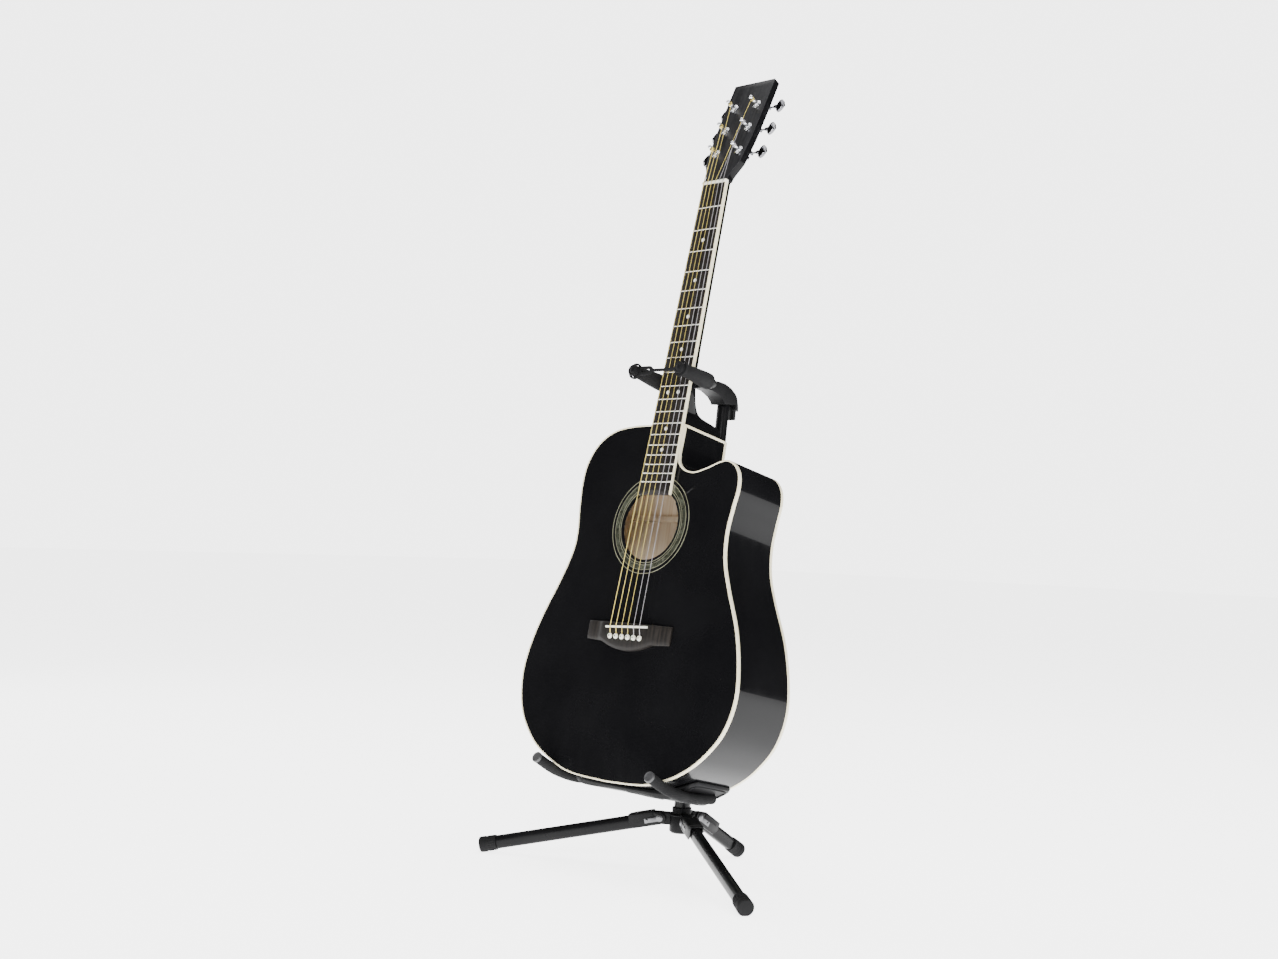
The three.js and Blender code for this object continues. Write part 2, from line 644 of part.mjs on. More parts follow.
function collar() {
  const inner = UPPER_TUBE_RADIUS + GAP;
  const outer = LOWER_TUBE_RADIUS + GAP;
  const top = LOWER_TUBE_TOP;
  return turned([[outer, top - 24], [14.5, top - 24], [15, top - 4], [13.2, top + 8], [inner, top + 8],
    [inner, top + GAP], [outer, top + GAP], [outer, top - 24]]);
}

// A point of the guitar's frame in the stand's, as [y, z].
function fromGuitar(v, w) {
  const a = (90 - LEAN_GUITAR) * Math.PI / 180;
  return [v * Math.cos(a) - w * Math.sin(a), v * Math.sin(a) + w * Math.cos(a) + SADDLE_ABOVE_FLOOR];
}

// Turns a shape drawn in the guitar's frame into the stand's.
const leanBack = (geometry) => geometry.rotateX((90 - LEAN_GUITAR) * Math.PI / 180)
  .translate(0, 0, SADDLE_ABOVE_FLOOR);

const ARM_ROUTE = [[60, 115.3], [36, 117.4], [14, 120.4], [-12, 127.6], [-38, 138.3], [-68, 155.6]];

function arm(x, radius = ARM_RADIUS) {
  return bentRod(ARM_ROUTE.map(([y, z]) => [x, y, z]), circle(radius, 14), 12);
}

function cradle() {
  const tail = bodyOutline.filter((p) => p.y < -150 && Math.abs(p.x) < CRADLE_HALF);
  tail.sort((a, b) => a.x - b.x);
  const seat = new THREE.SplineCurve(tail).getPoints(20).map((p) => [p.x, p.y - SEAT_GAP]);
  const underside = [[CRADLE_HALF, -198], [112, -220], [85, -222.5], [40, -219], [0, -217.5], [-40, -219],
    [-85, -222.5], [-112, -220], [-CRADLE_HALF, -198]];
  const seatBlock = leanBack(slab(polygon([...seat, ...underside]), -122, -38));
  const neckBlock = wall([[20, 114], [62, 100.5], [112, 104], [114, 128], [86, 105], [20, 118]], 20);
  const sleeve = mastRod(17, 107, 140);
  const bore = mastRod(LOWER_TUBE_RADIUS + GAP, 60, 200);
  const sockets = [-ARM_X, ARM_X].map((x) => arm(x, ARM_RADIUS + GAP).translate(0, 0.4, 0));
  return cut(join(seatBlock, neckBlock, sleeve), bore, ...sockets);
}

// One bent bar makes both prongs and the crossbar behind the neck; an arm curves down from it
// and widens over the top of the mast.
function yoke() {
  const half = YOKE_HALF;
  const bend = [[half, YOKE_V, 38], [half, YOKE_V, 8], [half, YOKE_V, -19], [half - 2, YOKE_V + 0.6, -28],
    [half - 9, YOKE_V + 2, -33], [18, YOKE_V + 3, -33], [0, YOKE_V + 3, -33]];
  const mirrored = bend.slice(0, -1).reverse().map(([x, y, z]) => [-x, y, z]);
  const bar = leanBack(bentRod([...bend, ...mirrored], circle(PRONG_RADIUS, 12), 26));
  const profile = [[99, 673], [122, 675.6], [138, 673.4], [154, 667], [162, 659.6], [163.5, 656],
    [188, 657], [188, 650], [197, 648], [196.5, 655], [193, 665], [187.6, 672.2], [177, 680],
    [163.8, 685.1], [148, 687.4], [130, 687.6], [99, 685]];
  const plan = polygon([[-8.5, 98], [8.5, 98], [9, 125], [13, 152], [13, 190], [10.5, 198],
    [-10.5, 198], [-13, 190], [-13, 152], [-9, 125]]);
  const overMast = common(wall(profile, 14), slab(plan, 600, 700));
  const slot = wall([[186.2, 640], [186.2, 668], [190, 669.5], [200, 669.5], [200, 640]], LEVER_HALF + 0.4);
  const rivet = rod(1.8, -12, 12, 12).rotateY(Math.PI / 2).translate(0, ...LEVER_PIVOT);
  const mastHole = mastRod(UPPER_TUBE_RADIUS + GAP, 600, UPPER_TUBE_TOP + 1);
  return join(cut(join(bar, overMast), mastHole, slot), rivet);
}

function lever() {
  const [y, z] = LEVER_PIVOT;
  const plate = wall([[y - 2.5, z + 3], [y + 2.5, z + 4], [y + 5.2, z - 1], [y + 7.6, z - 15],
    [y + 6.6, z - 26], [y + 3, z - 26.5], [y + 1.4, z - 13], [y - 2.8, z - 3]], LEVER_HALF);
  return cut(plate, rod(2.1, -12, 12, 12).rotateY(Math.PI / 2).translate(0, y, z));
}

function pad(x) {
  const root = -20;
  const tip = 47.5;
  const bore = PRONG_RADIUS + 2 * GAP;
  const tube = turned([[bore, root], [10.3, root], [PAD_RADIUS, root + 4], [PAD_RADIUS - 0.5, 0],
    [9.4, 22], [8.2, 39], [CAP_RADIUS, tip - 3], [CAP_RADIUS - 1, tip], [0, tip + 0.3], [0, 38.5],
    [bore, 38.5], [bore, root]], 18);
  return leanBack(tube.translate(x, YOKE_V, 0));
}

function strap() {
  const ringHole = 8.9;
  const outline = polygon([[-43, 6.3], [-15, 6.3], [-11, 3.5], [-10, 1.8], [43, 1.8], [43, -1.8],
    [-10, -1.8], [-11, -3.5], [-15, -6.3], [-43, -6.3]]);
  const slot = polygon([[-31, 2.5], [-17, 2.5], [-15, 0], [-17, -2.5], [-31, -2.5]]);
  const thickness = 3;
  const band = slab(outline, 0, thickness);
  const bothSides = [-YOKE_HALF, YOKE_HALF];
  const rings = bothSides.map((x) => rod(ringHole + 2.6, 0, thickness, 18).translate(x, 0, 0));
  const holes = bothSides.map((x) => rod(ringHole, -1, thickness + 1, 18).translate(x, 0, 0));
  const whole = cut(join(band, ...rings), slab(slot, -1, thickness + 1), ...holes);
  return leanBack(whole.translate(0, YOKE_V, STRAP_W));
}

function build() {
  const all = new THREE.Group();
  const legs = new THREE.Group();
  legs.position.y = HUB_Y;
  legs.add(mesh('hub', hub(), moulded), leg('left'), leg('right'), leg('rear'));
  const mast = new THREE.Group();
  mast.position.y = MAST_Y;
  mast.rotation.x = -MAST_LEAN * Math.PI / 180;
  mast.add(
    mesh('mast_lower', pipe(9.8, LOWER_TUBE_RADIUS, 56, LOWER_TUBE_TOP), powderCoat),
    mesh('mast_upper', pipe(7.4, UPPER_TUBE_RADIUS, UPPER_TUBE_BOTTOM, UPPER_TUBE_TOP), powderCoat),
    mesh('height_collar', collar(), moulded),
  );
  all.add(
    legs,
    mast,
    mesh('cradle', cradle(), moulded),
    mesh('cradle_arm_left', arm(-ARM_X), rubber),
    mesh('cradle_arm_right', arm(ARM_X), rubber),
    mesh('yoke', yoke(), moulded),
    mesh('yoke_pad_left', pad(-YOKE_HALF), rubber),
    mesh('yoke_pad_right', pad(YOKE_HALF), rubber),
    mesh('neck_strap', strap(), rubber),
    mesh('yoke_lever', lever(), steel),
    guitar(),
  );
  return all;
}

const model = build();
const bounds = new THREE.Box3().setFromObject(model, true);
const middle = bounds.getCenter(new THREE.Vector3());
model.position.set(-middle.x, -middle.y, -bounds.min.z);

export default model;
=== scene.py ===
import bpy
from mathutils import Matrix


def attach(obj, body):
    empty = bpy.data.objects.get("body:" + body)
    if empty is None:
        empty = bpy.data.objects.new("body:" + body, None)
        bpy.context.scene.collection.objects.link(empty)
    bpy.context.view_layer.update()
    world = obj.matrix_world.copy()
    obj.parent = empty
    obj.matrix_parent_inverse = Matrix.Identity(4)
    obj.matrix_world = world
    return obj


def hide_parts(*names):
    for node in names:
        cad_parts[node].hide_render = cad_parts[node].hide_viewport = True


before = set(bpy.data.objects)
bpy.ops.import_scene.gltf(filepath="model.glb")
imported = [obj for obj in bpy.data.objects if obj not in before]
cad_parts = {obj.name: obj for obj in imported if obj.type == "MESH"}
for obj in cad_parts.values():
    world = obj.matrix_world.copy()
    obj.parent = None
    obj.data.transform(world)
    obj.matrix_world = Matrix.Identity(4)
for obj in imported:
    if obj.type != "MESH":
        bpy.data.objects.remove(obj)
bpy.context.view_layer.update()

from math import cos, pi, radians, sin

import bpy
from mathutils import Matrix, Vector

# ---- The studio ----
# A white floor that runs out of sight, a camera low on the cutaway side, and soft lamps overhead, at
# both sides and by the camera. The room itself is dim, so that the black lacquer stays black.
FLOOR_GLOW = 4.0
BACKDROP_GLOW = 4.3
ROOM_LIGHT = 0.03

bpy.ops.object.select_all(action="DESELECT")

camera_place = Vector((1.4960, -1.6715, 0.4585))
camera_ahead = Vector((-0.6860, 0.7267, 0.0370)).normalized()
camera_right = Vector((0.7276, 0.6849, 0.0389)).normalized()
bpy.ops.object.camera_add(location=camera_place)
camera = bpy.context.object
camera_up = camera_right.cross(camera_ahead)
camera_turn = Matrix((camera_right, camera_up, -camera_ahead)).transposed().to_4x4()
camera.matrix_world = Matrix.Translation(camera_place) @ camera_turn
camera.data.lens = 45
camera.data.sensor_width = 36
bpy.context.scene.camera = camera


def shader_sockets(tree):
    """The inputs of a material's one shader."""
    return tree.nodes["Principled BSDF"].inputs


bpy.ops.mesh.primitive_plane_add(size=40)
floor = bpy.context.object
floor.name = "floor"
paint = bpy.data.materials.new("floor_paint")
paint.use_nodes = True
sockets = shader_sockets(paint.node_tree)
sockets["Base Color"].default_value = (0.93, 0.93, 0.93, 1)
sockets["Roughness"].default_value = 0.9
sockets["Emission Color"].default_value = (1, 1, 1, 1)
sockets["Emission Strength"].default_value = FLOOR_GLOW
floor.data.materials.append(paint)


def lamp(name, place, target, size, power):
    """A square soft lamp at place, facing target, all in metres and watts."""
    bpy.ops.object.light_add(type="AREA", location=place)
    light = bpy.context.object
    light.name = name
    light.data.shape = "RECTANGLE"
    light.data.size, light.data.size_y = size
    light.data.energy = power
    light.rotation_euler = (Vector(target) - Vector(place)).to_track_quat("-Z", "Y").to_euler()


lamp("overhead", (0.2, 0.3, 3.2), (0, 0, 0.3), (3.2, 3.2), 130)
lamp("cutaway_side", (2.6, 0.5, 1.5), (0, 0, 0.6), (0.9, 1.8), 9)
lamp("plain_side", (-2.6, -0.2, 1.6), (0, 0, 0.6), (0.8, 1.8), 22)
lamp("by_the_camera", (1.9, -2.2, 1.9), (0, 0, 0.6), (1.0, 1.0), 70)

world = bpy.data.worlds.new("studio")
bpy.context.scene.world = world
world.use_nodes = True
sky = world.node_tree.nodes["Background"]
sky.inputs["Color"].default_value = (1, 1, 1, 1)
rays = world.node_tree.nodes.new("ShaderNodeLightPath")
level = world.node_tree.nodes.new("ShaderNodeMapRange")
level.inputs["To Min"].default_value = ROOM_LIGHT
level.inputs["To Max"].default_value = BACKDROP_GLOW
world.node_tree.links.new(rays.outputs["Is Camera Ray"], level.inputs["Value"])
world.node_tree.links.new(level.outputs["Result"], sky.inputs["Strength"])

# ---- Soundboard ----
# A thin spruce plate with a round soundhole, pressed into a shallow dome that falls away at its
# edge, sprayed with black gloss lacquer and rubbed out. Inside, the wood is bare.
MM = 0.001
LEAN = radians(12)
DATUM = Vector((0, -0.0912, 0.3368))          # top of the soundboard, under the middle of the saddle
guitar_frame = Matrix.Translation(DATUM) @ Matrix.Rotation(pi / 2 - LEAN, 4, "X") @ Matrix.Scale(MM, 4)

scale_length = 650
body_joint = scale_length * 2 ** (-14 / 12)
plain_side = [
    (0, -208), (-64.5, -204.8), (-104.5, -194), (-149, -171), (-183, -133), (-197.2, -88), (-195.5, -45),
    (-182, 4),
    (-157.5, 62), (-144, 103), (-142.3, 132), (-148, 170), (-151.3, 208), (-146.5, 238), (-129.5, 265.5),
    (-100, 283), (-62, body_joint - 0.5)]
cutaway_corner = (27.8, body_joint)
cutaway_side = [
    (27, 247), (30.5, 234.5), (42, 225), (60, 221.5), (82, 227.3), (104, 235.8), (118, 237.2), (131, 231),
    (140.5, 217.5), (143.2, 198), (139.8, 172), (136.8, 138), (141.5, 101), (156, 63.5), (181, 10),
    (195.5, -42),
    (198.5, -84), (187, -124.5), (162, -157), (134.5, -179), (104.3, -194), (64.5, -204.8), (0, -208)]
binding_width = 2.2
binding_height = 5.5
edge_drop = 3
dome_width = 90
hole_centre = Vector((0, 145.4))
hole_radius = 50


def curve_through(points, steps):
    """A smooth line through the points, with so many steps from each one to the next."""
    line = []
    points = [Vector(p) for p in points]
    for i in range(len(points) - 1):
        a, b = points[i], points[i + 1]
        before, after = points[max(i - 1, 0)], points[min(i + 2, len(points) - 1)]
        for k in range(steps):
            t = k / steps
            line.append(0.5 * (2 * a + (b - before) * t + (2 * before - 5 * a + 4 * b - after) * t ** 2
                               + (3 * a - 3 * b + after - before) * t ** 3))
    return line + [points[-1]]


outline = curve_through(plain_side, 7)[:-1]
outline += [Vector((-62 + 11 * k, body_joint - 0.5 * (1 - k / 3) ** 2)) for k in range(4)]
outline += [Vector((-14, body_joint)), Vector((7, body_joint)), Vector(cutaway_corner)]
outline += [Vector((27.6, 275)), Vector((27.2, 261))]
outline += curve_through(cutaway_side, 7)[:-1]


def edge_normal(i):
    """The way out of the body at a point of its outline, and how far a corner's point leads its sides."""
    p, before, after = outline[i], outline[i - 1], outline[(i + 1) % len(outline)]
    a, b = (p - before).normalized(), (after - p).normalized()
    out = Vector((-a.y - b.y, a.x + b.x)).normalized()
    return out, max(0.6, out.dot(Vector((-a.y, a.x))))


def inset(distance):
    """The body's outline, moved in by the distance."""
    line = []
    for i, p in enumerate(outline):
        out, lead = edge_normal(i)
        line.append(p - out * (distance / lead))
    return line


def lifted(line, height):
    """Outline points as points in space, at one height or at height(point)."""
    return [Vector((p.x, p.y, height(p) if callable(height) else height)) for p in line]


def circle(radius, height, count, centre=(0, 0), flute=0):
    """A loop of points round an upright axis; a flute sets every other pair of them back."""
    loop = []
    for k in range(count):
        a, r = 2 * pi * k / count, radius - (flute if k % 4 > 1 else 0)
        loop.append((centre[0] + r * cos(a), centre[1] + r * sin(a), height))
    return loop


def skin(name, loops, ring=False):
    """Extrudes a first loop of points through the others. The ends are filled, or with ring they meet."""
    count = len(loops[0])
    bpy.ops.object.select_all(action="DESELECT")
    bpy.ops.mesh.primitive_circle_add(vertices=count, fill_type="NOTHING" if ring else "NGON")
    piece = bpy.context.object
    piece.name = name
    bpy.ops.object.mode_set(mode="EDIT")
    bpy.ops.mesh.select_all(action="SELECT")
    if ring:
        loops = loops + [loops[0]]
    for k in range(len(loops) - 1):
        bpy.ops.mesh.extrude_region_move()
    bpy.ops.object.mode_set(mode="OBJECT")
    for vertex, point in zip(piece.data.vertices, (p for loop in loops for p in loop)):
        vertex.co = point
    bpy.ops.object.mode_set(mode="EDIT")
    bpy.ops.mesh.select_all(action="SELECT")
    bpy.ops.mesh.remove_doubles(threshold=0.001)
    bpy.ops.mesh.normals_make_consistent(inside=False)
    bpy.ops.object.mode_set(mode="OBJECT")
    return piece


def soften(piece, width, segments=2, angle=35):
    """Rounds the sharp edges by the width, in the piece's own units, and shades the rest smooth."""
    bpy.ops.object.select_all(action="DESELECT")
    piece.select_set(True)
    bpy.context.view_layer.objects.active = piece
    if width:
        bevel = piece.modifiers.new("rounding", "BEVEL")
        bevel.width = width
        bevel.segments = segments
        bevel.limit_method = "ANGLE"
        bevel.angle_limit = radians(angle)
        bevel.harden_normals = False
        bpy.ops.object.modifier_apply(modifier=bevel.name)
    bpy.ops.object.shade_smooth_by_angle(angle=radians(angle))
    return piece


def settle(piece, place, body, slot, material, *nodes):
    """Puts a finished piece in its place and on its body, and takes over from the nodes it stands for."""
    piece.data.transform(place)
    piece.data.materials.clear()
    for coat in material if isinstance(material, (list, tuple)) else [material]:
        piece.data.materials.append(coat)
    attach(piece, body)
    if nodes:
        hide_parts(*nodes)
    return piece


def on_guitar(piece, slot, material, *nodes):
    """Settles one of the guitar's own pieces."""
    return settle(piece, guitar_frame, "guitar", slot, material, *nodes)


def finish(name, colour, roughness, metallic=0.0, specular=0.5, coat=0.0, coat_roughness=0.03):
    """A new material with one Principled shader; returns it with its node tree."""
    material = bpy.data.materials.new(name)
    material.use_nodes = True
    sockets = shader_sockets(material.node_tree)
    sockets["Base Color"].default_value = (*colour, 1)
    sockets["Roughness"].default_value = roughness
    sockets["Metallic"].default_value = metallic
    sockets["Specular IOR Level"].default_value = specular
    sockets["Coat Weight"].default_value = coat
    sockets["Coat Roughness"].default_value = coat_roughness
    return material, material.node_tree


def grain(tree, scale, stretch=(1, 1, 1), detail=3.0, turn=(0, 0, 0)):
    """A noise pattern in the object's own space, drawn out along an axis by a small stretch value."""
    place = tree.nodes.new("ShaderNodeTexCoord")
    mapping = tree.nodes.new("ShaderNodeMapping")
    mapping.inputs["Scale"].default_value = stretch
    mapping.inputs["Rotation"].default_value = turn
    noise = tree.nodes.new("ShaderNodeTexNoise")
    noise.inputs["Scale"].default_value = scale
    noise.inputs["Detail"].default_value = detail
    tree.links.new(place.outputs["Object"], mapping.inputs["Vector"])
    tree.links.new(mapping.outputs["Vector"], noise.inputs["Vector"])
    return noise.outputs["Fac"]


def roughen(tree, pattern, low, high):
    """Varies the shader's roughness from low to high with a pattern."""
    spread = tree.nodes.new("ShaderNodeMapRange")
    spread.inputs["From Min"].default_value = 0.3
    spread.inputs["From Max"].default_value = 0.7
    spread.inputs["To Min"].default_value = low
    spread.inputs["To Max"].default_value = high
    tree.links.new(pattern, spread.inputs["Value"])
    tree.links.new(spread.outputs["Result"], shader_sockets(tree)["Roughness"])


def tint(tree, pattern, *stops):
    """Colours the shader along a pattern; each stop is a place from 0 to 1 and a colour."""
    ramp = tree.nodes.new("ShaderNodeValToRGB")
    while len(ramp.color_ramp.elements) < len(stops):
        ramp.color_ramp.elements.new(0.5)
    for element, (where, colour) in zip(ramp.color_ramp.elements, stops):
        element.position = where
        element.color = (*colour, 1)
    tree.links.new(pattern, ramp.inputs["Fac"])
    tree.links.new(ramp.outputs["Color"], shader_sockets(tree)["Base Color"])


def relief(tree, pattern, depth, strength):
    """Raises a pattern on the surface, depth in metres."""
    bump = tree.nodes.new("ShaderNodeBump")
    bump.inputs["Distance"].default_value = depth
    bump.inputs["Strength"].default_value = strength
    tree.links.new(pattern, bump.inputs["Height"])
    tree.links.new(bump.outputs["Normal"], shader_sockets(tree)["Normal"])


black_lacquer, tree = finish("black_lacquer", (0.004, 0.004, 0.0045), 0.16, coat=0.35, specular=0.05)
shader_sockets(tree)["Coat IOR"].default_value = 1.3
tint(tree, grain(tree, 9, detail=4), (0.35, (0.0035, 0.0035, 0.004)), (0.7, (0.0055, 0.0055, 0.006)))
roughen(tree, grain(tree, 60, (1, 1, 0.25)), 0.12, 0.22)
relief(tree, grain(tree, 55, detail=1.5), 0.00001, 0.1)

bare_spruce, tree = finish("bare_spruce", (0.42, 0.25, 0.12), 0.7)
streaks = grain(tree, 30, (9, 1, 0.35), 5, (-LEAN, 0, 0))
tint(tree, streaks, (0.3, (0.68, 0.54, 0.38)), (0.5, (0.78, 0.65, 0.48)), (0.72, (0.84, 0.72, 0.56)))
relief(tree, streaks, 0.0002, 0.4)

board_thickness = 2.8
rim = inset(binding_width + 0.2)


def soundboard_ring(t, down):
    """A loop of the soundboard, from the soundhole's edge at t = 0 to the rim at t = 1."""
    loop = []
    for i, edge in enumerate(rim):
        start = hole_centre + (edge - hole_centre).normalized() * hole_radius
        p = start.lerp(edge, t)
        inwards = max(0, (edge - p).dot(edge_normal(i)[0]))
        loop.append(Vector((p.x, p.y, -edge_drop * max(0, 1 - inwards / dome_width) ** 2 - down)))
    return loop


steps = [0, 0.15, 0.3, 0.45, 0.58, 0.68, 0.76, 0.83, 0.89, 0.94, 0.975, 1]
loops = [soundboard_ring(t, 0) for t in steps]
loops += [soundboard_ring(t, board_thickness) for t in (1, 0.8, 0.5, 0)]
soundboard = soften(skin("lacquered_soundboard", loops, ring=True), 0)
on_guitar(soundboard, "black_lacquer", [black_lacquer, bare_spruce], "soundboard")
inside_normal = (guitar_frame.to_3x3() @ Vector((0, 0, -1))).normalized()
for face in soundboard.data.polygons:
    if face.normal.dot(inside_normal) > 0.5:
        face.material_index = 1

# ---- Sides ----
# Thin wood bent to the outline and glued between the two boards, under the same black lacquer.
# Their inner faces are bare wood, which shows through the soundhole.
side_thickness = 2.4
back_depth = 112
back_taper = 0.052
seam = 0.1


def back_height(p):
    """Height of the body's back edge at an outline point; it rises towards the neck."""
    return back_taper * p.y - back_depth


def strip_of_faces(piece, first, last, index):
    """Gives the faces between two of a skin's loops another of its materials."""
    for face in piece.data.polygons:
        if first * len(outline) <= face.index < last * len(outline):
            face.material_index = index


def lower(p):
    """Height of the sides' back edge, just clear of the back binding."""
    return back_height(p) + binding_height + seam


inside = inset(side_thickness)
upper = -edge_drop - binding_height - seam
loops = [lifted(outline, lower), lifted(outline, upper), lifted(inside, upper), lifted(inside, lower)]
sides = soften(skin("lacquered_sides", loops, ring=True), 0)
on_guitar(sides, "black_lacquer", [black_lacquer, bare_spruce], "sides")
strip_of_faces(sides, 2, 3, 1)

# ---- Back ----
# The back is crowned a few millimetres and lacquered like the sides. Ladder braces are glued
# across its bare inner face.
back_thickness = 3
back_crown = 4
back_middle = Vector((0, 20))


def back_ring(t, up):
    """A loop of the back, from its middle at t = 0 to the rim at t = 1."""
    loop = []
    for edge in rim:
        p = back_middle.lerp(edge, t)
        loop.append(Vector((p.x, p.y, back_height(p) - back_crown * (1 - t * t) + up)))
    return loop


spread = [0.02, 0.12, 0.25, 0.4, 0.55, 0.7, 0.82, 0.92, 1]
loops = [back_ring(t, 0) for t in spread] + [back_ring(t, back_thickness) for t in reversed(spread)]
back = soften(skin("lacquered_back", loops), 0)
on_guitar(back, "black_lacquer", [black_lacquer, bare_spruce], "back")
for face in back.data.polygons:
    if face.normal.dot(inside_normal) < -0.5:
        face.material_index = 1


def block(name, centre, size, rounding=0.6):
    """A squared piece with softened edges, at its centre and size."""
    bpy.ops.object.select_all(action="DESELECT")
    bpy.ops.mesh.primitive_cube_add(size=1, location=centre)
    piece = bpy.context.object
    piece.name = name
    piece.scale = size
    bpy.ops.object.transform_apply(location=True, rotation=True, scale=True)
    return soften(piece, rounding)


def joined(name, pieces):
    """Makes one piece of several."""
    bpy.ops.object.select_all(action="DESELECT")
    for piece in pieces:
        piece.select_set(True)
    bpy.context.view_layer.objects.active = pieces[0]
    bpy.ops.object.join()
    pieces[0].name = name
    pieces[0].data.name = name
    return pieces[0]


braces = []
for v in (-120, -10, 100, 175, 245):
    half = min(abs(p.x) for p in inside if abs(p.y - v) < 9) - 3
    braces.append(block("brace", (0, v, back_height(Vector((0, v))) + 5.5), (2 * half, 8, 11), 2))
on_guitar(joined("back_braces", braces), "black_lacquer", bare_spruce)

# ---- Bindings ----
# Cream plastic strip let into both edges of the body, with a squarer piece down the corner of the
# cutaway. It is scraped flush, its corners barely rounded, and polished.
cream_plastic, tree = finish("cream_plastic", (0.84, 0.77, 0.55), 0.3, coat=0.5, coat_roughness=0.08)
tint(tree, grain(tree, 14, (1, 1, 5), 4), (0.3, (0.80, 0.72, 0.49)), (0.7, (0.87, 0.80, 0.59)))
roughen(tree, grain(tree, 90), 0.22, 0.38)
relief(tree, grain(tree, 700, detail=2), 0.00003, 0.2)


def hoop(name, low, high):
    """The binding's ring along an edge of the body, between two heights."""
    inner = inset(binding_width)
    loops = [lifted(outline, low), lifted(outline, high), lifted(inner, high), lifted(inner, low)]
    return soften(skin(name, loops, ring=True), 0.45, 2, 50)


front_hoop = hoop("front_hoop", upper + seam, -edge_drop + 0.1)
strip_low = back_taper * body_joint - back_depth + binding_height
corner_strip = block("corner_strip", (27.1, body_joint - 1.6, (strip_low + upper) / 2),
                     (2.2, 3.6, upper - strip_low), 0.4)
front_binding = joined("cream_front_binding", [front_hoop, corner_strip])
on_guitar(front_binding, "cream_binding", cream_plastic, "front_binding")
back_hoop = hoop("cream_back_binding", back_height, lambda p: back_height(p) + binding_height)
on_guitar(back_hoop, "cream_binding", cream_plastic, "back_binding")

# ---- Rosette ----
# Rings let into the soundboard round the soundhole: a broad one of dark pearl between thin olive
# lines, all flush under the lacquer. The fingerboard's end covers them at the top.
dark_pearl, tree = finish("dark_pearl", (0.2, 0.22, 0.15), 0.28, coat=0.9, coat_roughness=0.05)
cells = tree.nodes.new("ShaderNodeTexVoronoi")
cells.inputs["Scale"].default_value = 150
where = tree.nodes.new("ShaderNodeTexCoord")
tree.links.new(where.outputs["Object"], cells.inputs["Vector"])
tint(tree, cells.outputs["Color"], (0.15, (0.012, 0.013, 0.008)), (0.5, (0.026, 0.028, 0.018)),
     (0.85, (0.055, 0.058, 0.042)))
roughen(tree, grain(tree, 220), 0.18, 0.4)


def flat_ring(name, inner, outer, top):
    """A thin ring round the soundhole, let into the soundboard."""
    loops = [circle(radius, height, 120, hole_centre)
             for radius, height in ((inner, -0.3), (outer, -0.3), (outer, top), (inner, top))]
    return soften(skin(name, loops, ring=True), 0)


on_guitar(flat_ring("rosette_pearl", 57.6, 63.8, 0.22), "pearl", dark_pearl, "rosette")
olive_line, tree = finish("olive_line", (0.26, 0.26, 0.17), 0.3, coat=0.9, coat_roughness=0.05)
tint(tree, grain(tree, 60, detail=4), (0.3, (0.13, 0.13, 0.085)), (0.7, (0.22, 0.22, 0.15)))
lines = [flat_ring("line", *radii, 0.24) for radii in ((69, 70), (53.9, 54.8), (56.9, 57.6), (63.8, 64.5))]
on_guitar(joined("rosette_lines", lines), "cream_binding", olive_line)

# ---- Neck ----
# One length of hardwood: a heel glued to the body, a round-backed shaft, and a headstock set back
# at an angle. Gloss black behind, with a satin charcoal veneer on the headstock's face.
board_height = 8.2
board_fall = 0.016
board_thickness_neck = 6
nut_half = 21.7
octave_half = 27.5
neck_end = 656.5


def board_top(v):
    """Height of the fingerboard's surface at the middle."""
    return board_height - board_fall * v


def board_half(v):
    """Half the fingerboard's width."""
    return nut_half + (octave_half - nut_half) * (scale_length - v) / (scale_length / 2)


heel_line = curve_through([(289.9, -98.5, 27.2), (303, -98.5, 25), (307, -90, 21), (309, -68, 20),
                           (311, -53, 20),
                           (315, -42.5, 21), (323, -33, 23), (334, -27, 25), (352, -21.5, 26.3)], 4)
shaft_line = [(v, board_top(v) - 6.1 - 17 + (v - 289) * 0.0068, board_half(v) - 0.1)
              for v in (372, 400, 430, 470, 510, 550, 590, 630, neck_end)]
loops = []
for v, low, half in [tuple(p) for p in heel_line] + shaft_line:
    blend = min(1, max(0, (v - 323) / 57))
    across, down = 0.7 + 0.3 * blend, 0.45 + 0.5 * blend
    top = board_top(v) - board_thickness_neck - 0.05 - 2 * (1 - blend)
    loop = []
    for k in range(33):
        a = k * pi / 32
        x = half * abs(cos(a)) ** across * (1 if cos(a) >= 0 else -1)
        loop.append(Vector((x, v, top - (top - low) * max(0, sin(a)) ** down)))
    loops.append(loop)
neck_shaft = soften(skin("neck_shaft", loops), 0, angle=40)

head_start = Vector((0, 656, -4.6))
head_tilt = radians(14.5)
head_frame = Matrix.Translation(head_start) @ Matrix.Rotation(-head_tilt, 4, "X")
head_thickness = 12
head_half = curve_through([(0, 21.8), (7, 22.3), (18, 26.6), (27, 31), (34, 33), (55, 34.8), (76, 36.6),
                           (104, 37.4),
                           (130, 37.8), (179.4, 37.8)], 4)
head_edge = [Vector((half, s)) for s, half in head_half]
head_edge += [Vector((-half, s)) for s, half in reversed(head_half)]
veneer_thickness = 0.8
head_loops = [lifted(head_edge, height) for height in (-head_thickness, -veneer_thickness)]
head_blade = soften(skin("head_blade", head_loops), 0.9, 3, 60)
volute = []
for s, low, half in ((-7, -17.6, 20.6), (0, -18, 21.2), (8, -17.2, 21.6), (16, -15, 22.6), (24, -12.8, 25),
                     (32, -11, 27)):
    volute.append([(half * cos(a), s, -5 + (low + 5) * sin(a) ** 0.8)
                   for a in (k * pi / 20 for k in range(21))])
head_volute = soften(skin("head_volute", volute), 0, angle=40)
for piece in (head_blade, head_volute):
    piece.data.transform(head_frame)
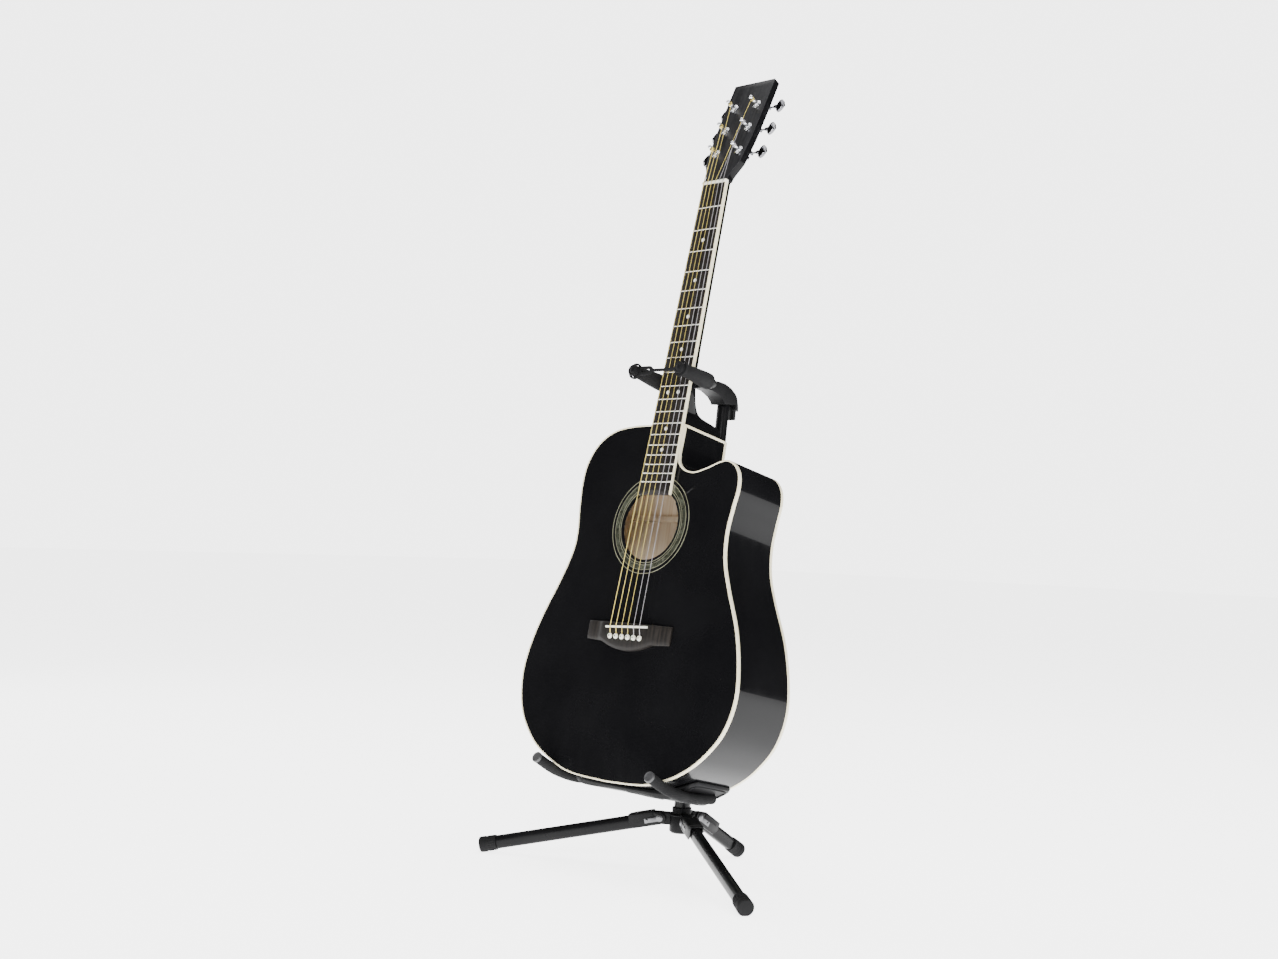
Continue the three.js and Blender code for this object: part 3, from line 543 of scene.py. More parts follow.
neck = joined("lacquered_neck", [neck_shaft, head_blade, head_volute])
on_guitar(neck, "black_lacquer", black_lacquer, "neck")

charcoal_veneer, tree = finish("charcoal_veneer", (0.02, 0.02, 0.022), 0.36, specular=0.15, coat=0.06,
                               coat_roughness=0.3)
fibres = grain(tree, 42, (8, 1, 0.3), 5, (-LEAN - radians(2.5), 0, 0))
tint(tree, fibres, (0.3, (0.006, 0.006, 0.007)), (0.7, (0.015, 0.015, 0.016)))
roughen(tree, fibres, 0.3, 0.46)
relief(tree, fibres, 0.00008, 0.3)
veneer_loops = [[(p.x * 0.995, p.y, height) for p in head_edge] for height in (-veneer_thickness, 0)]
veneer = soften(skin("headstock_veneer", veneer_loops), 0.3, 2, 60)
veneer.data.transform(head_frame)
on_guitar(veneer, "black_lacquer", charcoal_veneer)

# ---- Fingerboard ----
# A dark open-grained board, slightly arched, glued on the neck and over the soundboard. Its sides
# are edged in cream, and pearl dots mark the frets.
dark_wood, tree = finish("dark_wood", (0.03, 0.022, 0.018), 0.5, specular=0.15)
pores = grain(tree, 55, (7, 1, 0.16), 6, (-LEAN, 0, 0))
tint(tree, pores, (0.3, (0.004, 0.0035, 0.003)), (0.52, (0.010, 0.0085, 0.0075)), (0.72, (0.022, 0.018, 0.015)))
roughen(tree, pores, 0.38, 0.62)
relief(tree, pores, 0.00012, 0.45)

board_end = 186.5
end_curve, end_curve_reach = 6.5, 60
board_arch = 0.6
edging = 1.6


def board_bottom(v):
    """Underside of the board: on the soundboard's dome, then on the neck."""
    if v > body_joint:
        return board_top(v) - board_thickness_neck
    return 0.3 - edge_drop * max(0, 1 - (body_joint - v) / dome_width) ** 2


def across_board(v_start):
    """Points across the board: its arched top from one side to the other, then its two lower corners."""
    half = board_half(v_start) - edging
    loop = []
    for k in range(13):
        u = half - 2 * half * k / 12
        curve = end_curve * max(0, 1 - (v_start - board_end) / end_curve_reach)
        v = v_start + curve * (1 - (u / half) ** 2)
        loop.append((u, v, board_top(v) - board_arch * (u / half) ** 2))
    return loop + [(u, v, board_bottom(v)) for u, v in ((-half, loop[-1][1]), (half, loop[0][1]))]


board_steps = [board_end, 200, 215, 230, 245, 260, 275, 289, 290, 340, 420, 500, 580, 649.8]
board = skin("dark_fingerboard", [across_board(v) for v in board_steps])
on_guitar(soften(board, 0.25, 2, 40), "dark_wood", dark_wood, "fingerboard")


def beam(name, stations, rounding):
    """A four-sided bar through stations of (left, right, v, low, high)."""
    loops = [[(left, v, low), (right, v, low), (right, v, high), (left, v, high)]
             for left, right, v, low, high in stations]
    return soften(skin(name, loops), rounding, 2, 40)


edges = []
for side in (-1, 1):
    stations = []
    for v in board_steps:
        pair = sorted((side * board_half(v), side * (board_half(v) - edging)))
        stations.append((*pair, v, board_bottom(v), board_top(v) - board_arch + 0.12))
    edges.append(beam("edge", stations, 0.2))
on_guitar(joined("fingerboard_edging", edges), "cream_binding", cream_plastic)

def fret_place(number):
    """Distance of a fret from the saddle."""
    return scale_length * 2 ** (-number / 12)


dots = []
for fret in (3, 5, 7, 9, 12, 15, 17):
    v = (fret_place(fret) + fret_place(fret - 1)) / 2
    for u in ((-9.5, 9.5) if fret == 12 else (0,)):
        bpy.ops.object.select_all(action="DESELECT")
        middle = board_top(v) - 0.6 - board_arch * (u / 27) ** 2
        bpy.ops.mesh.primitive_cylinder_add(vertices=28, radius=2.9, depth=1.4, location=(u, v, middle))
        bpy.ops.object.transform_apply(location=True, rotation=True, scale=True)
        dots.append(soften(bpy.context.object, 0.12, 1))
shell, tree = finish("white_shell", (0.78, 0.78, 0.74), 0.25, coat=0.6)
clouds = grain(tree, 260, detail=4)
tint(tree, clouds, (0.3, (0.60, 0.62, 0.60)), (0.7, (0.86, 0.84, 0.80)))
roughen(tree, clouds, 0.15, 0.35)
on_guitar(joined("fret_dots", dots), "pearl", shell)

# ---- Frets ----
# Twenty lengths of nickel-silver wire with a round crown, pressed into slots in the board and
# filed flush with its sides.
nickel_silver, tree = finish("nickel_silver", (0.70, 0.68, 0.63), 0.22, 1.0)
roughen(tree, grain(tree, 300, (1, 6, 6)), 0.16, 0.34)
relief(tree, grain(tree, 1200, detail=2), 0.00002, 0.2)
fret_half_width = 1.05
fret_crown = 1.0
frets = []
for number in range(1, 21):
    v = fret_place(number)
    half = board_half(v) - 0.5
    loops = []
    for u in (-1, -0.985, -0.6, 0, 0.6, 0.985, 1):
        size = 0.35 if abs(u) == 1 else 1
        base = board_top(v) - board_arch * u * u
        loops.append([(u * half, v + fret_half_width * cos(a) * (0.6 + 0.4 * size),
                       base - 0.1 + fret_crown * size * max(0, sin(a)) - (0.3 if sin(a) < -0.1 else 0))
                      for a in (k * pi / 5 for k in range(10))])
    frets.append(soften(skin("fret", loops), 0, angle=50))
on_guitar(joined("fret_wires", frets), "plain_string", nickel_silver)

# ---- Nut, bridge and saddle ----
# Bone at both ends of the strings: a slotted nut, and a saddle standing in a glued-down dark wood
# bridge. The bridge's back edge is bellied, and its wings are carved thin.
bone, tree = finish("bone", (0.82, 0.79, 0.68), 0.32)
shader_sockets(tree)["Subsurface Weight"].default_value = 0.05
tint(tree, grain(tree, 160, (4, 1, 1), 4), (0.3, (0.76, 0.72, 0.59)), (0.7, (0.87, 0.85, 0.76)))
roughen(tree, grain(tree, 120), 0.24, 0.42)
relief(tree, grain(tree, 500, (4, 1, 1)), 0.00004, 0.25)

string_radii = [0.66, 0.55, 0.45, 0.4, 0.4, 0.4]       # from the lowest string, on the plain side
saddle_spread = 54
nut_spread = 36
saddle_top = 12.5
saddle_slant = 0.05
saddle_half, saddle_round = 38, 1.4
nut_top = board_top(scale_length) + 2
nut_places = [(k / 5 - 0.5) * nut_spread for k in range(6)]
cuts = sorted([-nut_half, nut_half] + [place + d for place in nut_places for d in (-1.1, -0.6, 0.6, 1.1)])
loops = []
for u in cuts:
    deep = 0.8 if any(abs(u - place) < 0.7 for place in nut_places) else 0
    top = nut_top + 0.35 - deep
    loops.append([(u, 649.9, -8.2), (u, 654.6, -8.2), (u, 654.6, top - 1.9), (u, 653.4, top - 0.5),
                  (u, 651.6, top),
                  (u, 649.9, top)])
on_guitar(soften(skin("bone_nut", loops), 0.2, 2, 40), "bone", bone, "nut")

bridge_half, belly_half = 76.5, 46
bridge_front = 6
bridge_high = 8.4
bridge_low = 4.2
loops = []
for k in range(61):
    u = bridge_half * (k / 30 - 1)
    x = abs(u)
    belly = 19.5 + 2 * min(1, (bridge_half - x) / 30.5)
    if x < belly_half:
        belly += 10.5 * (1 - (x / belly_half) ** 2)
    rise = min(1, max(0, (58 - x) / 13))
    height = bridge_low + (bridge_high - bridge_low) * (3 * rise ** 2 - 2 * rise ** 3)
    height -= 0.6 * max(0, (x - 70) / 6.5)
    loops.append([(u, bridge_front, 0.05), (u, bridge_front, height * 0.72),
                  (u, bridge_front - 1.6, height - 0.25),
                  (u, bridge_front - 4, height), (u, -belly + 6, height), (u, -belly + 1.8, 0.9 * height - 0.5),
                  (u, -belly, height * 0.6), (u, -belly, 0.05)])
bridge = soften(skin("dark_bridge", loops), 0.5, 2, 50)
on_guitar(bridge, "dark_wood", dark_wood, "bridge")

loops = []
for k in range(25):
    share = k / 12 - 1
    top = saddle_top - 0.5 * share ** 2 - (0.9 if k in (0, 24) else 0) - saddle_round
    loops.append([(saddle_half * share, saddle_round * cos(a), top + saddle_round * sin(a) if sin(a) > 0 else 4)
                  for a in (j * pi / 6 for j in range(12))])
saddle = soften(skin("bone_saddle", loops), 0, angle=40)
saddle.data.transform(Matrix.Rotation(saddle_slant, 4, "Z"))
on_guitar(saddle, "bone", bone, "saddle")


def turned(name, profile, sides, rounding=0, angle=35):
    """A lathe-turned piece about z, from (radius, height) pairs; its first and last are flat ends."""
    return soften(skin(name, [circle(r, z, sides) for r, z in profile]), rounding, 2, angle)


# ---- Bridge pins ----
# Six tapered cream pins hold the strings' ball ends in the bridge; each round head has a dark dot.
pin_spread, pin_line = 55, -14
pin_profile = [(2.6, 6), (2.6, 8.5), (3.7, 8.9), (3.75, 9.8), (3.4, 10.8), (2.6, 11.6), (1.4, 11.95), (0.3, 12)]
pins, pin_dots = [], []
for k in range(6):
    pin = turned("pin", pin_profile, 20)
    dot = turned("dot", [(1.1, 11.4), (1.1, 12.0), (0.7, 12.12), (0.2, 12.15)], 14)
    for piece in (pin, dot):
        piece.data.transform(Matrix.Translation(((k / 5 - 0.5) * pin_spread, pin_line, 0)))
    pins.append(pin)
    pin_dots.append(dot)
on_guitar(joined("bridge_pins", pins), "bone", bone)
on_guitar(joined("bridge_pin_dots", pin_dots), "dark_wood", dark_wood)

# ---- Strings ----
# Six steel strings, the four thick ones wound with bronze wire. Each runs from its pin over the
# saddle, through its slot in the nut, and is wound three times round its post.
wound_bronze, tree = finish("wound_bronze", (0.80, 0.66, 0.20), 0.34, 1.0)
winding_with_groove_shade = tree.nodes.new("ShaderNodeTexWave")
winding_with_groove_shade.bands_direction = "Z"
winding_with_groove_shade.inputs["Scale"].default_value = 620
where = tree.nodes.new("ShaderNodeTexCoord")
upright = tree.nodes.new("ShaderNodeMapping")
upright.inputs["Rotation"].default_value = (-LEAN, 0, 0)
tree.links.new(where.outputs["Object"], upright.inputs["Vector"])
tree.links.new(upright.outputs["Vector"], winding_with_groove_shade.inputs["Vector"])
# The tint follows the relief's bands: darker in the grooves between the wire's turns and lighter on their
# crowns. This is painted shade in the grooves over the bronze's own colour.
tint(tree, winding_with_groove_shade.outputs["Fac"], (0.1, (0.50, 0.39, 0.10)), (0.6, (0.88, 0.73, 0.25)))
relief(tree, winding_with_groove_shade.outputs["Fac"], 0.0001, 0.7)
plain_steel, tree = finish("plain_steel", (0.50, 0.48, 0.50), 0.45, 1.0)
roughen(tree, grain(tree, 400, (1, 1, 0.1)), 0.38, 0.52)

tuner_rows = [51, 93, 134.5]
tuner_half = 21.2
post_radius, post_waist = 3, 2.35
tuner_places = [(-tuner_half, s, n) for n, s in enumerate(tuner_rows, 1)]
tuner_places += [(tuner_half, s, 6 - n) for n, s in reversed(list(enumerate(tuner_rows)))]


def sweep(name, path, radius, sides, angle=35):
    """A round bar along a path of points; radius may be one number or one for each point."""
    loops = []
    for i, p in enumerate(path):
        ahead = (path[min(i + 1, len(path) - 1)] - path[max(i - 1, 0)]).normalized()
        across = ahead.cross(Vector((0, 0, 1)) if abs(ahead.z) < 0.8 else Vector((0, 1, 0))).normalized()
        over = across.cross(ahead)
        r = radius[i] if isinstance(radius, (list, tuple)) else radius
        loops.append([p + x * across + y * over for x, y, _ in circle(r, 0, sides)])
    return soften(skin(name, loops), 0, angle=angle)


for i, (post_u, s, number) in enumerate(tuner_places):
    radius = string_radii[i]
    share = i / 5 - 0.5
    at_saddle, at_nut = share * saddle_spread, share * nut_spread
    inward = post_u - (1 if post_u > 0 else -1) * (2.3 + radius)
    points = [Vector((share * pin_spread, -12.4, 7.5)), Vector((share * pin_spread, -10.5, 9.6)),
              Vector((at_saddle, saddle_slant * at_saddle - 1.2, saddle_top + radius - 0.5)),
              Vector((at_saddle, saddle_slant * at_saddle + 0.8, saddle_top + radius - 0.1)),
              Vector((at_nut, scale_length + 0.5, nut_top + radius - 0.1)),
              Vector((at_nut, scale_length + 3, nut_top + radius - 0.4)),
              head_frame @ Vector((inward, s - 1, 11.2))]
    string = sweep(f"string_line_{6 - i}", points, radius, 8, 60)
    slot, metal = ("bronze_string", wound_bronze) if i < 4 else ("plain_string", plain_steel)
    on_guitar(string, slot, metal, f"string_{6 - i}")
    reach = post_waist + radius
    turns = [Vector((reach * cos(a), reach * sin(a), 12.4 - radius - a / (2 * pi) * (2 * radius + 0.1)))
             for a in (k * pi / 8 for k in range(3 * 16 + 1))]
    coil = sweep(f"string_turns_{number}", turns, radius, 6, 60)
    coil.data.transform(head_frame @ Matrix.Translation((post_u, s, 0.8)))
    settle(coil, guitar_frame, f"post_{number}", slot, metal)

# ---- Tuners ----
# Six sealed machine heads: a rounded chromed housing screwed behind the headstock, a post through
# it inside a round bushing and washer, and a kidney-shaped button on the worm's shaft.
chrome, tree = finish("chrome", (0.78, 0.79, 0.81), 0.08, 1.0)
roughen(tree, grain(tree, 70, detail=4), 0.05, 0.14)
relief(tree, grain(tree, 160), 0.00003, 0.12)
dark_steel, tree = finish("dark_steel", (0.16, 0.16, 0.17), 0.34, 1.0)
roughen(tree, grain(tree, 500), 0.26, 0.44)

dark_chrome, tree = finish("dark_chrome", (0.17, 0.17, 0.18), 0.07, 1.0)
roughen(tree, grain(tree, 80, detail=4), 0.04, 0.12)
tint(tree, grain(tree, 35), (0.3, (0.12, 0.12, 0.13)), (0.7, (0.22, 0.22, 0.23)))

worm_offset = 4.5
worm_depth = -16.5
button_centre = 50.7
washer_profile = [(6.6, 0.02), (6.6, 0.5), (6.1, 0.9), (5.1, 1.0), (4.9, 1.9), (4.3, 2.4), (3.3, 2.45),
                  (3.3, 0.2)]
post_profile = [(1.5, -16), (post_radius, -15.6), (post_radius, 8), (2.9, 9), (post_waist, 10.2), (2.3, 12.4),
                (2.8, 13.8), (post_radius, 14.8), (post_radius, 17), (2.5, 17.8), (1.2, 18), (0.9, 17)]


def placed(piece, *places):
    """Moves a piece by the given matrices, the last one first."""
    for place in reversed(places):
        piece.data.transform(place)
    return piece


for post_u, s, number in tuner_places:
    side = 1 if post_u > 0 else -1
    at_post = Matrix.Translation((post_u, s, 0))
    housing = block("housing", (-3 * side, worm_offset / 2, -head_thickness - 5), (17, 17, 9.6), 2.4)
    ear = turned("ear", [(3.2, -13.4), (3.2, -12.1), (2.9, -12), (1, -12)], 20, 0.2)
    placed(ear, Matrix.Translation((-6.5 * side, -8.6, 0)))
    sleeve = turned("sleeve", [(4.2, 0), (4.2, 4.6), (3.4, 5.4), (3.4, 6.2), (2, 6.2)], 24, 0.25)
    placed(sleeve, Matrix.Translation((5 * side, worm_offset, worm_depth)),
           Matrix.Rotation(side * pi / 2, 4, "Y"))
    cap = turned("cap", [(3.4, 0), (3.4, 0.7), (2.9, 1.1), (1.2, 1.2), (0.9, 0.7)], 20)
    placed(cap, Matrix.Translation((0, 0, -head_thickness - 9.7)), Matrix.Rotation(pi, 4, "X"))
    body = placed(joined(f"chrome_housing_{number}", [housing, ear, sleeve, cap]), head_frame, at_post)
    on_guitar(body, "chrome", chrome, f"tuner_housing_{number}")

    washer = turned(f"chrome_bushing_{number}", washer_profile, 32, angle=30)
    placed(washer, head_frame, at_post)
    on_guitar(washer, "chrome", chrome)

    post = turned(f"chrome_post_{number}", post_profile, 24)
    placed(post, head_frame, at_post)
    settle(post, guitar_frame, f"post_{number}", "chrome", chrome, f"tuner_post_{number}")

    screw_profile = [(1.7, 0), (1.7, 0.3), (1.1, 0.7), (0.5, 0.75), (0.4, 0.3)]
    small_screw = turned(f"face_screw_{number}", screw_profile, 14)
    placed(small_screw, head_frame, Matrix.Translation((post_u + 5.5, s - 9.5, 0)))
    on_guitar(small_screw, "steel", dark_steel)

    kidney = [(7.3 * cos(a) * (0.86 + 0.14 * cos(a)) + 0.6, 9.9 * sin(a) * (1 - 0.10 * cos(2 * a)))
              for a in (2 * pi * k / 40 for k in range(40))]
    crown = ((0.55, -3.1), (0.86, -2.7), (1, -1.5), (1, 1.5), (0.86, 2.7), (0.55, 3.1))
    grip = skin("grip", [[(x * f, y * f, z) for x, y in kidney] for f, z in crown])
    grip = placed(soften(grip, 0, angle=50), Matrix.Translation((button_centre - tuner_half, 0, 0)))
    stem = turned("stem", [(1.35, 4.7), (1.35, 18), (2.6, 20.5), (2.9, 23.5), (2.2, 26)], 20)
    end_screw = turned("end", [(2.4, 29.4), (2.4, 37.6), (2.0, 38.1), (1.0, 38.2), (0.8, 37.6)], 18)
    for piece in (stem, end_screw):
        placed(piece, Matrix.Rotation(pi / 2, 4, "Y"))
    button = joined(f"chrome_button_{number}", [grip, stem, end_screw])
    placed(button, head_frame, at_post, Matrix.Translation((0, worm_offset, worm_depth)),
           Matrix.Rotation(0 if side > 0 else pi, 4, "Z"))
    settle(button, guitar_frame, f"button_{number}", "chrome", dark_chrome, f"tuner_button_{number}")

# ---- Hub ----
# The moulded plastic socket at the foot of the mast, with a forked lug for each leg. Its edges
# are rounded by the mould, and a thin flange rings its top.
moulded_plastic, tree = finish("moulded_plastic", (0.016, 0.016, 0.017), 0.42, specular=0.08)
roughen(tree, grain(tree, 28, detail=4), 0.36, 0.5)
tint(tree, grain(tree, 18), (0.35, (0.006, 0.006, 0.0065)), (0.7, (0.010, 0.010, 0.0105)))
relief(tree, grain(tree, 1500, detail=2), 0.00006, 0.35)
row_frame = Matrix.Identity(4)
stand_frame = Matrix.Translation((0, -0.0912, 0)) @ Matrix.Scale(MM, 4)


def recut(name, node, rounding, angle=25, segments=2):
    """A copy of a plain part's mesh, its flat faces made whole and its edges rounded, in metres."""
    bpy.ops.object.select_all(action="DESELECT")
    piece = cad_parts[node].copy()
    piece.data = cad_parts[node].data.copy()
    bpy.context.scene.collection.objects.link(piece)
    for key in list(piece.keys()):
        del piece[key]
    piece.parent = None
    piece.name = name
    piece.data.name = name
    piece.hide_render = piece.hide_viewport = False
    piece.select_set(True)
    bpy.context.view_layer.objects.active = piece
    bpy.ops.object.mode_set(mode="EDIT")
    bpy.ops.mesh.select_all(action="SELECT")
    bpy.ops.mesh.remove_doubles(threshold=0.00001)
    bpy.ops.mesh.dissolve_limited(angle_limit=radians(1.5))
    bpy.ops.object.mode_set(mode="OBJECT")
    return soften(piece, rounding, segments, angle)


hub = recut("moulded_hub", "hub", 0.0008, 40)
settle(hub, row_frame, "stand", "black_moulding", moulded_plastic, "hub")
hub_y = 118.5
flange = turned("hub_flange", [(13, 72.6), (18.2, 72.8), (18.6, 73.6), (18.2, 74.6), (14, 75.6)], 48)
placed(flange, Matrix.Translation((0, hub_y, 0)))
settle(flange, stand_frame, "stand", "black_moulding", moulded_plastic)

# ---- Legs ----
# Three legs of oval steel tube, powder coated satin black. Each is held between the cheeks of a
# pressed steel bracket, under a moulded cover, and turns on a rivet through the hub's lug.
powder_coat, tree = finish("powder_coat", (0.012, 0.012, 0.013), 0.36, specular=0.12)
roughen(tree, grain(tree, 22, detail=4), 0.24, 0.34)
tint(tree, grain(tree, 12), (0.35, (0.004, 0.004, 0.0045)), (0.7, (0.007, 0.007, 0.0075)))
relief(tree, grain(tree, 1100, detail=1), 0.00008, 0.35)
zinc_steel, tree = finish("zinc_steel", (0.15, 0.15, 0.155), 0.34, 1.0)
roughen(tree, grain(tree, 120, (1, 1, 6)), 0.26, 0.46)
tint(tree, grain(tree, 45), (0.3, (0.11, 0.11, 0.115)), (0.7, (0.18, 0.18, 0.185)))
soft_rubber, tree = finish("soft_rubber", (0.018, 0.018, 0.019), 0.72, specular=0.06)
roughen(tree, grain(tree, 30, detail=4), 0.62, 0.82)
tint(tree, grain(tree, 24), (0.3, (0.008, 0.008, 0.0085)), (0.7, (0.014, 0.014, 0.0145)))
relief(tree, grain(tree, 1300, detail=2), 0.0001, 0.4)

pivot_height = 67.5
pivot_radius = 30
leg_width, leg_height = 14.5, 19
foot_radius = 11.2
foot_length = 25
foot_flat = 1.2
cover_section = [(-1, 4.5), (-1, 10.4), (-0.8, 12.1), (0.8, 12.1), (1, 10.4), (1, 4.5), (0.92, 4.5),
                 (0.92, 11.0),
                 (-0.92, 11.0), (-0.92, 4.5)]
rivet_profile = [(1.2, -11.1), (3.4, -10.9), (4.8, -10.3), (4.8, -9.6), (2.8, -9.5), (2.8, 9.5), (4.8, 9.6),
                 (4.8, 10.3), (3.4, 10.9), (1.2, 11.1)]
boot_profile = [(0, 8, 0), (0.3, 10.4, 0), (1.2, 10.6, 0), (2, 10.8, 0.7), (10.5, 11.0, 0.7), (12, 11.0, 0),
                (13.5, 10.4, 0), (14.5, 10.4, 0), (15.5, foot_radius, 0), (23.2, foot_radius, 0),
                (24.4, 10.8, 0),
                (25, 9.8, 0)]
leg_turns = {"left": (212, 289), "right": (328, 289), "rear": (90, 124)}


def leg_fall(reach):
    """How steeply a leg falls, and its length, so that its foot's flat stands on the floor."""
    slope = 0.2
    for step in range(20):
        end_x = reach + foot_radius * sin(slope)
        end_z = foot_radius * cos(slope) - foot_flat
        slope = Vector((end_x - pivot_radius, pivot_height - end_z)).angle_signed(Vector((1, 0)))
    return slope, (pivot_height - foot_radius * cos(slope) + foot_flat) / sin(slope)


def squared(value, power):
    """A sine or cosine pushed towards 1 or -1, which squares a circle's quarters."""
    return abs(value) ** power * (1 if value > 0 else -1)


def oval_loop(x, width, height):
    """A loop across the leg, flatter at its sides than an ellipse."""
    return [(x, width / 2 * squared(c, 0.75), height / 2 * squared(s, 0.75)) for c, s, _ in circle(1, 0, 32)]


for name, (azimuth, reach) in leg_turns.items():
    slope, length = leg_fall(reach)
    body = f"leg_{name}_body"
    leg_frame = (Matrix.Translation((0, hub_y, 0)) @ Matrix.Rotation(radians(azimuth), 4, "Z")
                 @ Matrix.Translation((pivot_radius, 0, pivot_height)) @ Matrix.Rotation(slope, 4, "Y"))
    tube_end = length - foot_length + 12
    stations = [13.5, 13.9, 40, 90, 140, tube_end] if length > 200 else [13.5, 13.9, 40, 80, tube_end]
    tube_loops = [oval_loop(x, leg_width, leg_height) for x in stations]
    tube_loops[0] = oval_loop(stations[0], leg_width * 0.95, leg_height * 0.95)
    tube = skin(f"oval_leg_{name}", tube_loops)
    placed(soften(tube, 0), leg_frame)
    settle(tube, stand_frame, body, "black_tube", powder_coat, f"leg_{name}")

    bracket = recut(f"pressed_bracket_{name}", f"leg_bracket_{name}", 0.00035, 40)
    settle(bracket, row_frame, body, "steel", powder_coat, f"leg_bracket_{name}")
    for side in (-1, 1):
        plate = block("plate", (12, side * 9.55, -0.8), (20, 0.5, 6.4), 0.2)
        stud = turned("stud", [(2.0, 0), (2.0, 0.6), (1.3, 1.0), (0.4, 1.05)], 16)
        placed(stud, Matrix.Translation((18.5, side * 9.7, 0)), Matrix.Rotation(-side * pi / 2, 4, "X"))
        plate = placed(joined(f"bracket_plate_{name}_{'near' if side < 0 else 'far'}", [plate, stud]),
                       leg_frame)
        settle(plate, stand_frame, body, "steel", zinc_steel)
    cover_loops = [[(x, y * (10.3 + grow), z + grow * 0.4) for y, z in cover_section]
                   for x, grow in ((7.5, -0.8), (8.4, 0), (36, 0), (39.6, -0.9))]
    cover = placed(soften(skin(f"bracket_cover_{name}", cover_loops), 0.35, 2, 40), leg_frame)
    settle(cover, stand_frame, body, "black_moulding", moulded_plastic)

    rivet = turned(f"leg_rivet_{name}", rivet_profile, 28, angle=40)
    placed(rivet, leg_frame, Matrix.Rotation(pi / 2, 4, "X"))
    settle(rivet, stand_frame, body, "steel", zinc_steel, f"leg_pin_{name}")

    start = length - foot_length
    boot_loops = [[(start + x, y, z) for y, z, _ in circle(radius, 0, 80, flute=flute)]
                  for x, radius, flute in boot_profile]
    boot = placed(skin(f"rubber_foot_{name}", boot_loops), leg_frame)
    bpy.ops.object.mode_set(mode="EDIT")
    bpy.ops.mesh.select_all(action="SELECT")
    bpy.ops.mesh.bisect(plane_co=(0, 0, 0.02), plane_no=(0, 0, 1), clear_inner=True, use_fill=True)
    bpy.ops.object.mode_set(mode="OBJECT")
    soften(boot, 0, angle=40)
    settle(boot, stand_frame, body, "rubber", soft_rubber, f"foot_{name}")

# ---- Mast ----
# Two powder-coated steel tubes, the upper sliding in the lower. A ribbed moulded collar screws
# down where they meet and grips the upper tube.
mast_frame = stand_frame @ Matrix.Translation((0, 110.6, 0)) @ Matrix.Rotation(radians(-5.7), 4, "X")
lower_tube = turned("lower_tube", [(9.8, 56), (11.3, 56), (11.5, 56.3), (11.5, 394.6), (11.2, 395), (9.8, 395)],
                    48)
settle(lower_tube, mast_frame, "stand", "black_tube", powder_coat, "mast_lower")
upper_tube = turned("upper_tube", [(7.4, 300), (8.6, 300), (8.75, 300.3), (8.75, 675.6), (8.5, 676),
                                   (7.4, 676)], 44)
settle(upper_tube, mast_frame, "mast_top", "black_tube", powder_coat, "mast_upper")

collar_profile = [(371.2, 11.8, 0), (371.2, 14.3, 0), (372, 14.6, 0), (374.5, 14.6, 0), (375.5, 14.7, 0.55),
                  (389, 14.7, 0.55), (390, 14.7, 0), (391, 14.9, 0),
                  (393, 14.2, 0), (401, 13.2, 0), (403, 12.3, 0), (403, 9.05, 0)]
loops = [circle(r, z, 72, flute=flute) for z, r, flute in collar_profile]
settle(soften(skin("ribbed_collar", loops, ring=True), 0, angle=28), mast_frame, "collar", "black_moulding",
       moulded_plastic,
       "height_collar")

# ---- Cradle ----
# A wide moulded seat that the body's tail stands in, clamped on the mast by its sleeve. Two arms
# of rubber-covered rod reach forward under the body and turn up at their ends.
tail = sorted((p.x, p.y) for p in outline if p.y < -150)


def tail_height(u):
    """Height of the body's tail edge at a place across it."""
    for (u0, v0), (u1, v1) in zip(tail, tail[1:]):
        if u0 <= u <= u1:
            return v0 + (v1 - v0) * (u - u0) / max(u1 - u0, 0.001)
    return tail[0][1]


tray_low = [(0, -215), (20, -215), (40, -215.4), (62, -216.5), (80, -215.5), (88, -212.5), (95, -208),
            (101, -203.8),
            (107, -200), (113, -196.6), (119, -193.4), (124, -190.2)]
low_line = curve_through(tray_low, 4)
low_line = [Vector((-p.x, p.y)) for p in reversed(low_line[1:])] + low_line
loops = []
for p in low_line:
    top = tail_height(p.x) - 0.6
    end = max(0, abs(p.x) - 116) / 8
    front, rear = -40 - 6 * end ** 2, -121 + 6 * end ** 2
    middle = (p.y + top) / 2
    loops.append([(p.x, p.y, front - 3), (p.x, middle, front), (p.x, top, front - 1), (p.x, top, rear + 1),
                  (p.x, middle, rear), (p.x, p.y, rear + 3)])
tray = placed(soften(skin("tray", loops), 1.2, 3, 35), guitar_frame)
neck_loops = []
for y, high, low, half in ((16, 124, 112, 16), (40, 122, 106.5, 19), (62, 119, 101, 20), (90, 121, 101.5, 20),
                           (112, 126, 103.5, 17)):
    neck_loops.append([(-half, y, low + 4), (-half + 5, y, low), (half - 5, y, low), (half, y, low + 4),
                       (half, y, high - 2), (half - 3, y, high), (-half + 3, y, high), (-half, y, high - 2)])
stem_block = placed(soften(skin("stem_block", neck_loops), 1.5, 3, 30), stand_frame)
sleeve_profile = [(11.7, 107), (16.2, 107), (17, 108.2), (17, 138.5), (16.2, 140), (11.7, 140)]
loops = [circle(r, z, 48) for r, z in sleeve_profile]
sleeve = placed(soften(skin("sleeve", loops, ring=True), 0), mast_frame)
rims = []
for side in (-1, 1):
    border = []
    for c, d, _ in circle(1, 0, 48) + [(1, 0, 0)]:
        x = 110.5 + 10.5 * squared(c, 0.4)
        depth = -81 + 34 * squared(d, 0.4)
        near = sorted(low_line, key=lambda q: abs(q.x - x))[:2]
        share = (x - near[0].x) / (near[1].x - near[0].x)
        border.append(Vector((side * x, near[0].y + (near[1].y - near[0].y) * share - 0.2, depth)))
    rims.append(placed(sweep("rim", border, 1.3, 8), guitar_frame))
cradle = joined("moulded_cradle", [tray, stem_block, sleeve] + rims)
